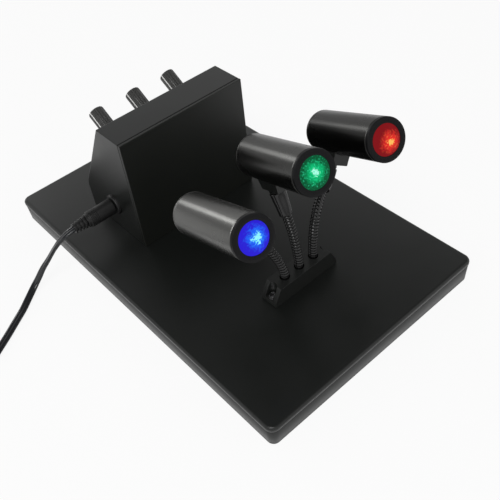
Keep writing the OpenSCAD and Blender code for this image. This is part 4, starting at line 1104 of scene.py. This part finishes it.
def adapter_body():
    width, length, height = ADAPTER_SIZE
    start = tail_line[-1]
    levels = [
        (3.0, 0.0), (1.9, 0.12), (0.9, 0.55), (0.25, 1.4), (0, 2.6), (0, 30.8), (0.35, 31.0), (0.35, 31.6), (0, 31.8),
        (0, length - 1.8), (0.2, length - 0.8), (0.7, length - 0.25), (1.6, length),
    ]
    points, rings = [], []
    for inset, y in levels:
        ring = []
        corner = max(ADAPTER_CORNER - inset * 0.6, 1.5)
        for x, z in rounded_rectangle(width - 2 * inset, height - 2 * inset, corner):
            ring.append(len(points))
            points.append((start.x + x, start.y + ADAPTER_RELIEF + y, height / 2 + z))
        rings.append(ring)
    faces = wall(rings)
    faces.append(tuple(rings[0]))
    faces.append(tuple(reversed(rings[-1])))
    return piece("plug_top_adapter", points, faces, sharp=45)


def adapter_relief():
    place = Matrix.Translation(Vector(tail_line[-1]) * MM) @ Matrix.Rotation(math.radians(-90), 4, "X")
    profile = [(0.0001, 0), (3.0, 0), (3.2, 0.25)]
    for k in range(3):
        z = 1.2 + k * 2.2
        radius = 3.3 + 0.18 * (z - 1)
        profile += [(radius, z), (radius - 0.55, z + 0.15), (radius - 0.55, z + 0.75), (radius + 0.1, z + 0.9)]
    profile += [(4.6, ADAPTER_RELIEF), (4.6, ADAPTER_RELIEF + 0.5), (0.0001, ADAPTER_RELIEF + 0.5)]
    return turned("adapter_strain_relief", profile, place, sides=64)


adapter = dress(adapter_body(), adapter_case, "ray_box", "adapter", "mains_adapter")
relief = dress(adapter_relief(), rubber, "ray_box", "adapter")
print("adapter:", adapter.dimensions)


# %% Tie round the coil
def coil_tie():
    turn_number = 0.125
    clear = 0.5
    thick = 0.5
    width = 8.0
    angle = math.radians(-90 - 360 * turn_number)
    top_turn = TURNS_IN + CLIMB + turn_number
    low_reach = (coil_point(top_turn).xy - Vector(COIL_CENTRE)).length - CORD_WIDTH / 2 - clear
    high_reach = (coil_point(turn_number).xy - Vector(COIL_CENTRE)).length + CORD_WIDTH / 2 + clear
    floor = COIL_LOW - CORD_THICK / 2 - 0.3
    roof = COIL_LOW + CORD_THICK + COIL_GAP + CORD_THICK / 2 + 0.3
    turn = Matrix.Rotation(angle, 4, "Z")
    place = Matrix.Translation(Vector((*COIL_CENTRE, 0)) * MM) @ turn
    middle_reach = (low_reach + high_reach) / 2
    points, rings = [], []
    for inset, side in [(thick, -width / 2), (0, -width / 2), (0, width / 2), (thick, width / 2)]:
        ring = []
        wide = high_reach - low_reach + 2 * thick - 2 * inset
        tall = roof - floor + thick - 2 * inset * 0.6
        for a, b in rounded_rectangle(wide, tall, 1.6 - inset):
            ring.append(len(points))
            points.append((middle_reach + a, side, (roof + floor) / 2 + b))
        rings.append(ring)
    rings.append(rings[0])
    return piece("coil_tie_band", points, wall(rings), place)


tie = dress(coil_tie(), rubber, "ray_box", "cord", "cord_tie")

# %% [markdown]
# ## Wires inside
#
# Sleeved wires join the socket, the board, the dimmers and the lamps. They never show from
# outside, but the part opens in a CAD viewer, and then they should be there.


# %% Inner wires
def slope_point(offset, y, z):
    return slope_place(offset) @ (Vector((0, y, z)) * MM) / MM


board_y = CONSOLE_FRONT + 38
board_top = DECK + 9.6
hole_y = CONSOLE_FRONT + 14
run_z = DECK - DECK_SHEET - 8
terminal = board_top + 2.2
jack_x = SIDE_MIDDLE - CONSOLE_WIDTH / 2 + 18
x0 = SIDE_MIDDLE
wire_routes = []
for k in (-1, 1):
    wire_routes.append([
        (jack_x + 0.4, JACK_Y + 2 * k, JACK_HEIGHT), (jack_x + 4, JACK_Y + 2 * k, JACK_HEIGHT),
        (jack_x + 11, board_y + 15, JACK_HEIGHT + 4 + 2 * k), (x0 - 9 + 2 * k, board_y + 16, board_top + 13),
        (x0 + 2.5 * k, board_y + 12.5, board_top + 10), (x0 + 2.5 * k, board_y + 12.5, terminal),
    ])
for i, offset in enumerate((-KNOB_PITCH, 0, KNOB_PITCH)):
    x = x0 + 13 * (i - 1) - 2.5
    wire_routes.append([
        slope_point(offset, 17.5, -6.4), slope_point(offset, 21.2, -7.9), (x0 + offset * 0.5, board_y - 2, board_top + 15),
        (x, board_y - 10, board_top + 13), (x, board_y - 11.5, board_top + 9), (x, board_y - 11.5, terminal),
    ])
for i in range(3):
    x = x0 + 13 * (i - 1) + 2.5
    foot_x = BRACKET_SIDE + (i - 1) * NECK_PITCH
    wire_routes.append([
        (x, board_y - 11.5, terminal), (x, board_y - 11.5, board_top + 10),
        (x0 + 8 * (i - 1), hole_y + 3, board_top + 6), (x0 + 3 * (i - 1), hole_y, DECK + 6),
        (x0 + 3 * (i - 1), hole_y, DECK - DECK_SHEET - 1), (x0 + 3 * (i - 1), hole_y - 4, run_z),
        (x0 / 2 + 6 * (i - 1), 0, run_z), (foot_x, BRACKET_PLACE + 8, run_z), (foot_x, BRACKET_PLACE + 2, run_z),
        (foot_x, BRACKET_PLACE, run_z + 1), (foot_x, BRACKET_PLACE, DECK - DECK_SHEET - 5.3),
    ])


def inner_wires(routes, radius=0.7, sides=12):
    points, faces = [], []
    for route in routes:
        line = smooth_line(route, 5)
        start = len(points)
        for centre, heading in zip(line, headings_along(line)):
            across = heading.cross(Vector((0.1, 0.3, 0.95))).normalized()
            up = across.cross(heading)
            for a, b in round_section(radius, sides):
                points.append(centre + across * a + up * b)
        rings = [[start + sides * i + k for k in range(sides)] for i in range(len(line))]
        faces += wall(rings) + [tuple(reversed(rings[0])), tuple(rings[-1])]
    return piece("inner_wires", points, faces)


dress(inner_wires(wire_routes), wire_red, "ray_box", "wires", "internal_wiring")
print("inner wires:", len(wire_routes))

# %% [markdown]
# ## Feet and inner parts
#
# The feet are turned pads with a rounded foot. What is left keeps its CAD shape, and takes the
# finish that such a piece has, except the bracket's screws, whose steel is darkened to paint the
# shade in their pockets.


# %% Feet
def rubber_pads():
    profile = [(0.0001, 2.2), (6.7, 2.2), (7.0, 2.0), (7.0, 0.5), (6.85, 0.15), (6.5, 0.0), (0.0001, 0.0)]
    points, faces = [], []
    sides = 64
    for x in (-BASE_WIDTH / 2 + 22, BASE_WIDTH / 2 - 22):
        for y in (-BASE_LENGTH / 2 + 22, BASE_LENGTH / 2 - 22):
            start = len(points)
            for radius, height in profile:
                for k in range(sides):
                    angle = -2 * math.pi * k / sides
                    points.append((x + radius * math.cos(angle), y + radius * math.sin(angle), height))
            rings = [[start + sides * i + k for k in range(sides)] for i in range(len(profile))]
            faces += wall(rings)
    return piece("rubber_pads", points, faces)


dress(rubber_pads(), rubber, "ray_box", "feet", "rubber_feet")

# %% Finishes on the CAD's own nodes
# The bracket's screws take the darkened steel that paints their pockets' shade.
KEPT = {
    "bottom_cover": front_sheet, "cover_screws": plated, "console_screws": plated, "board_screws": plated,
    "bracket_screws": pocket_shade_steel, "jack_nut": plated, "pot_nuts": plated, "potentiometers": turned_metal,
    "circuit_board": laminate, "board_parts": component, "adapter_pins": plated,
}
for number in (1, 2, 3):
    KEPT[f"knob_shaft_{number}"] = turned_metal
for colour in COLOURS:
    KEPT[f"{colour}_clip_screw"] = plated
    KEPT[f"{colour}_led"] = emitter_white
    KEPT[f"{colour}_heat_sink"] = turned_metal
for name, material in KEPT.items():
    mesh = nodes[name].data
    mesh.materials.clear()
    mesh.materials.append(material)
print("CAD nodes kept with a finish:", len(KEPT))

# %% [markdown]
# ## Floor and light
#
# A plain pale floor and soft studio light. The world is brighter low down than above, which is
# what gives black plastic its long soft gradients. The camera itself sees it as white.


# %% Floor
FLOOR_GLOW = 0.9
FLOOR_MIRRORED = 0.4


def pale_floor():
    made = bpy.data.materials.new("pale_floor")
    made.use_nodes = True
    tree = made.node_tree
    shader = tree.nodes["Principled BSDF"]
    shader.inputs["Base Color"].default_value = (0.92, 0.92, 0.92, 1)
    shader.inputs["Roughness"].default_value = 0.9
    shader.inputs["Specular IOR Level"].default_value = 0.1
    lit = tree.nodes.new("ShaderNodeEmission")
    lit.inputs["Strength"].default_value = 1.0
    path = tree.nodes.new("ShaderNodeLightPath")
    seen = tree.nodes.new("ShaderNodeMath")
    seen.operation = "MAXIMUM"
    seen_all = tree.nodes.new("ShaderNodeMath")
    seen_all.operation = "MAXIMUM"
    share = tree.nodes.new("ShaderNodeMath")
    share.operation = "MULTIPLY"
    share.inputs[1].default_value = FLOOR_GLOW
    mirrored = tree.nodes.new("ShaderNodeMath")
    mirrored.operation = "MULTIPLY"
    mirrored.inputs[1].default_value = FLOOR_MIRRORED
    mixed = tree.nodes.new("ShaderNodeMixShader")
    link = tree.links.new
    link(path.outputs["Is Camera Ray"], seen.inputs[0])
    link(path.outputs["Is Glossy Ray"], mirrored.inputs[0])
    link(mirrored.outputs["Value"], seen.inputs[1])
    link(seen.outputs["Value"], seen_all.inputs[0])
    link(path.outputs["Is Transmission Ray"], seen_all.inputs[1])
    link(seen_all.outputs["Value"], share.inputs[0])
    link(share.outputs["Value"], mixed.inputs["Fac"])
    link(shader.outputs["BSDF"], mixed.inputs[1])
    link(lit.outputs["Emission"], mixed.inputs[2])
    link(mixed.outputs["Shader"], tree.nodes["Material Output"].inputs["Surface"])
    size = 4000
    points = [(-size, -size, 0), (size, -size, 0), (size, size, 0), (-size, size, 0)]
    floor = piece("floor", points, [(0, 1, 2, 3)])
    floor.data.materials.append(made)
    return floor


pale_floor()


# %% World
def studio_world(levels, power):
    """The world's brightness by height: levels is a list of (sine of the elevation, brightness)."""
    world = bpy.data.worlds.new("studio")
    bpy.context.scene.world = world
    world.use_nodes = True
    tree = world.node_tree
    back = tree.nodes["Background"]
    back.inputs["Strength"].default_value = power
    where = tree.nodes.new("ShaderNodeTexCoord")
    split = tree.nodes.new("ShaderNodeSeparateXYZ")
    path = tree.nodes.new("ShaderNodeLightPath")
    seen = tree.nodes.new("ShaderNodeMix")
    seen.data_type = "RGBA"
    seen.inputs["B"].default_value = (0.98, 0.98, 0.98, 1)
    ramp = tree.nodes.new("ShaderNodeValToRGB")
    ramp.color_ramp.interpolation = "EASE"
    stops = ramp.color_ramp.elements
    stops[0].position, stops[0].color = levels[0][0], (*[levels[0][1]] * 3, 1)
    stops[1].position, stops[1].color = levels[-1][0], (*[levels[-1][1]] * 3, 1)
    for height, level in levels[1:-1]:
        stops.new(height).color = (level, level, level, 1)
    tree.links.new(where.outputs["Generated"], split.inputs["Vector"])
    tree.links.new(split.outputs["Z"], ramp.inputs["Fac"])
    tree.links.new(path.outputs["Is Camera Ray"], seen.inputs["Factor"])
    tree.links.new(ramp.outputs["Color"], seen.inputs["A"])
    tree.links.new(seen.outputs["Result"], back.inputs["Color"])
    return world


studio_world([(0.0, 0.30), (0.25, 0.92), (0.46, 0.88), (0.68, 0.22), (1.0, 0.16)], 1.0)


# %% Lamps of the studio
def soft_light(name, where, aim, size, watts):
    light = bpy.data.lights.new(name, "AREA")
    light.shape = "DISK"
    light.size = size
    light.energy = watts
    holder = bpy.data.objects.new(name, light)
    bpy.context.scene.collection.objects.link(holder)
    holder.location = where
    holder.rotation_euler = (Vector(aim) - Vector(where)).to_track_quat("-Z", "Y").to_euler()
    return holder


soft_light("key_light", (-0.7, -0.5, 1.2), (0, 0, 0.05), 0.8, 9)
soft_light("strip_light", (-0.10, 1.40, 0.44), (0, 0, 0.08), 0.34, 1.4)
print("stage and lights ready")
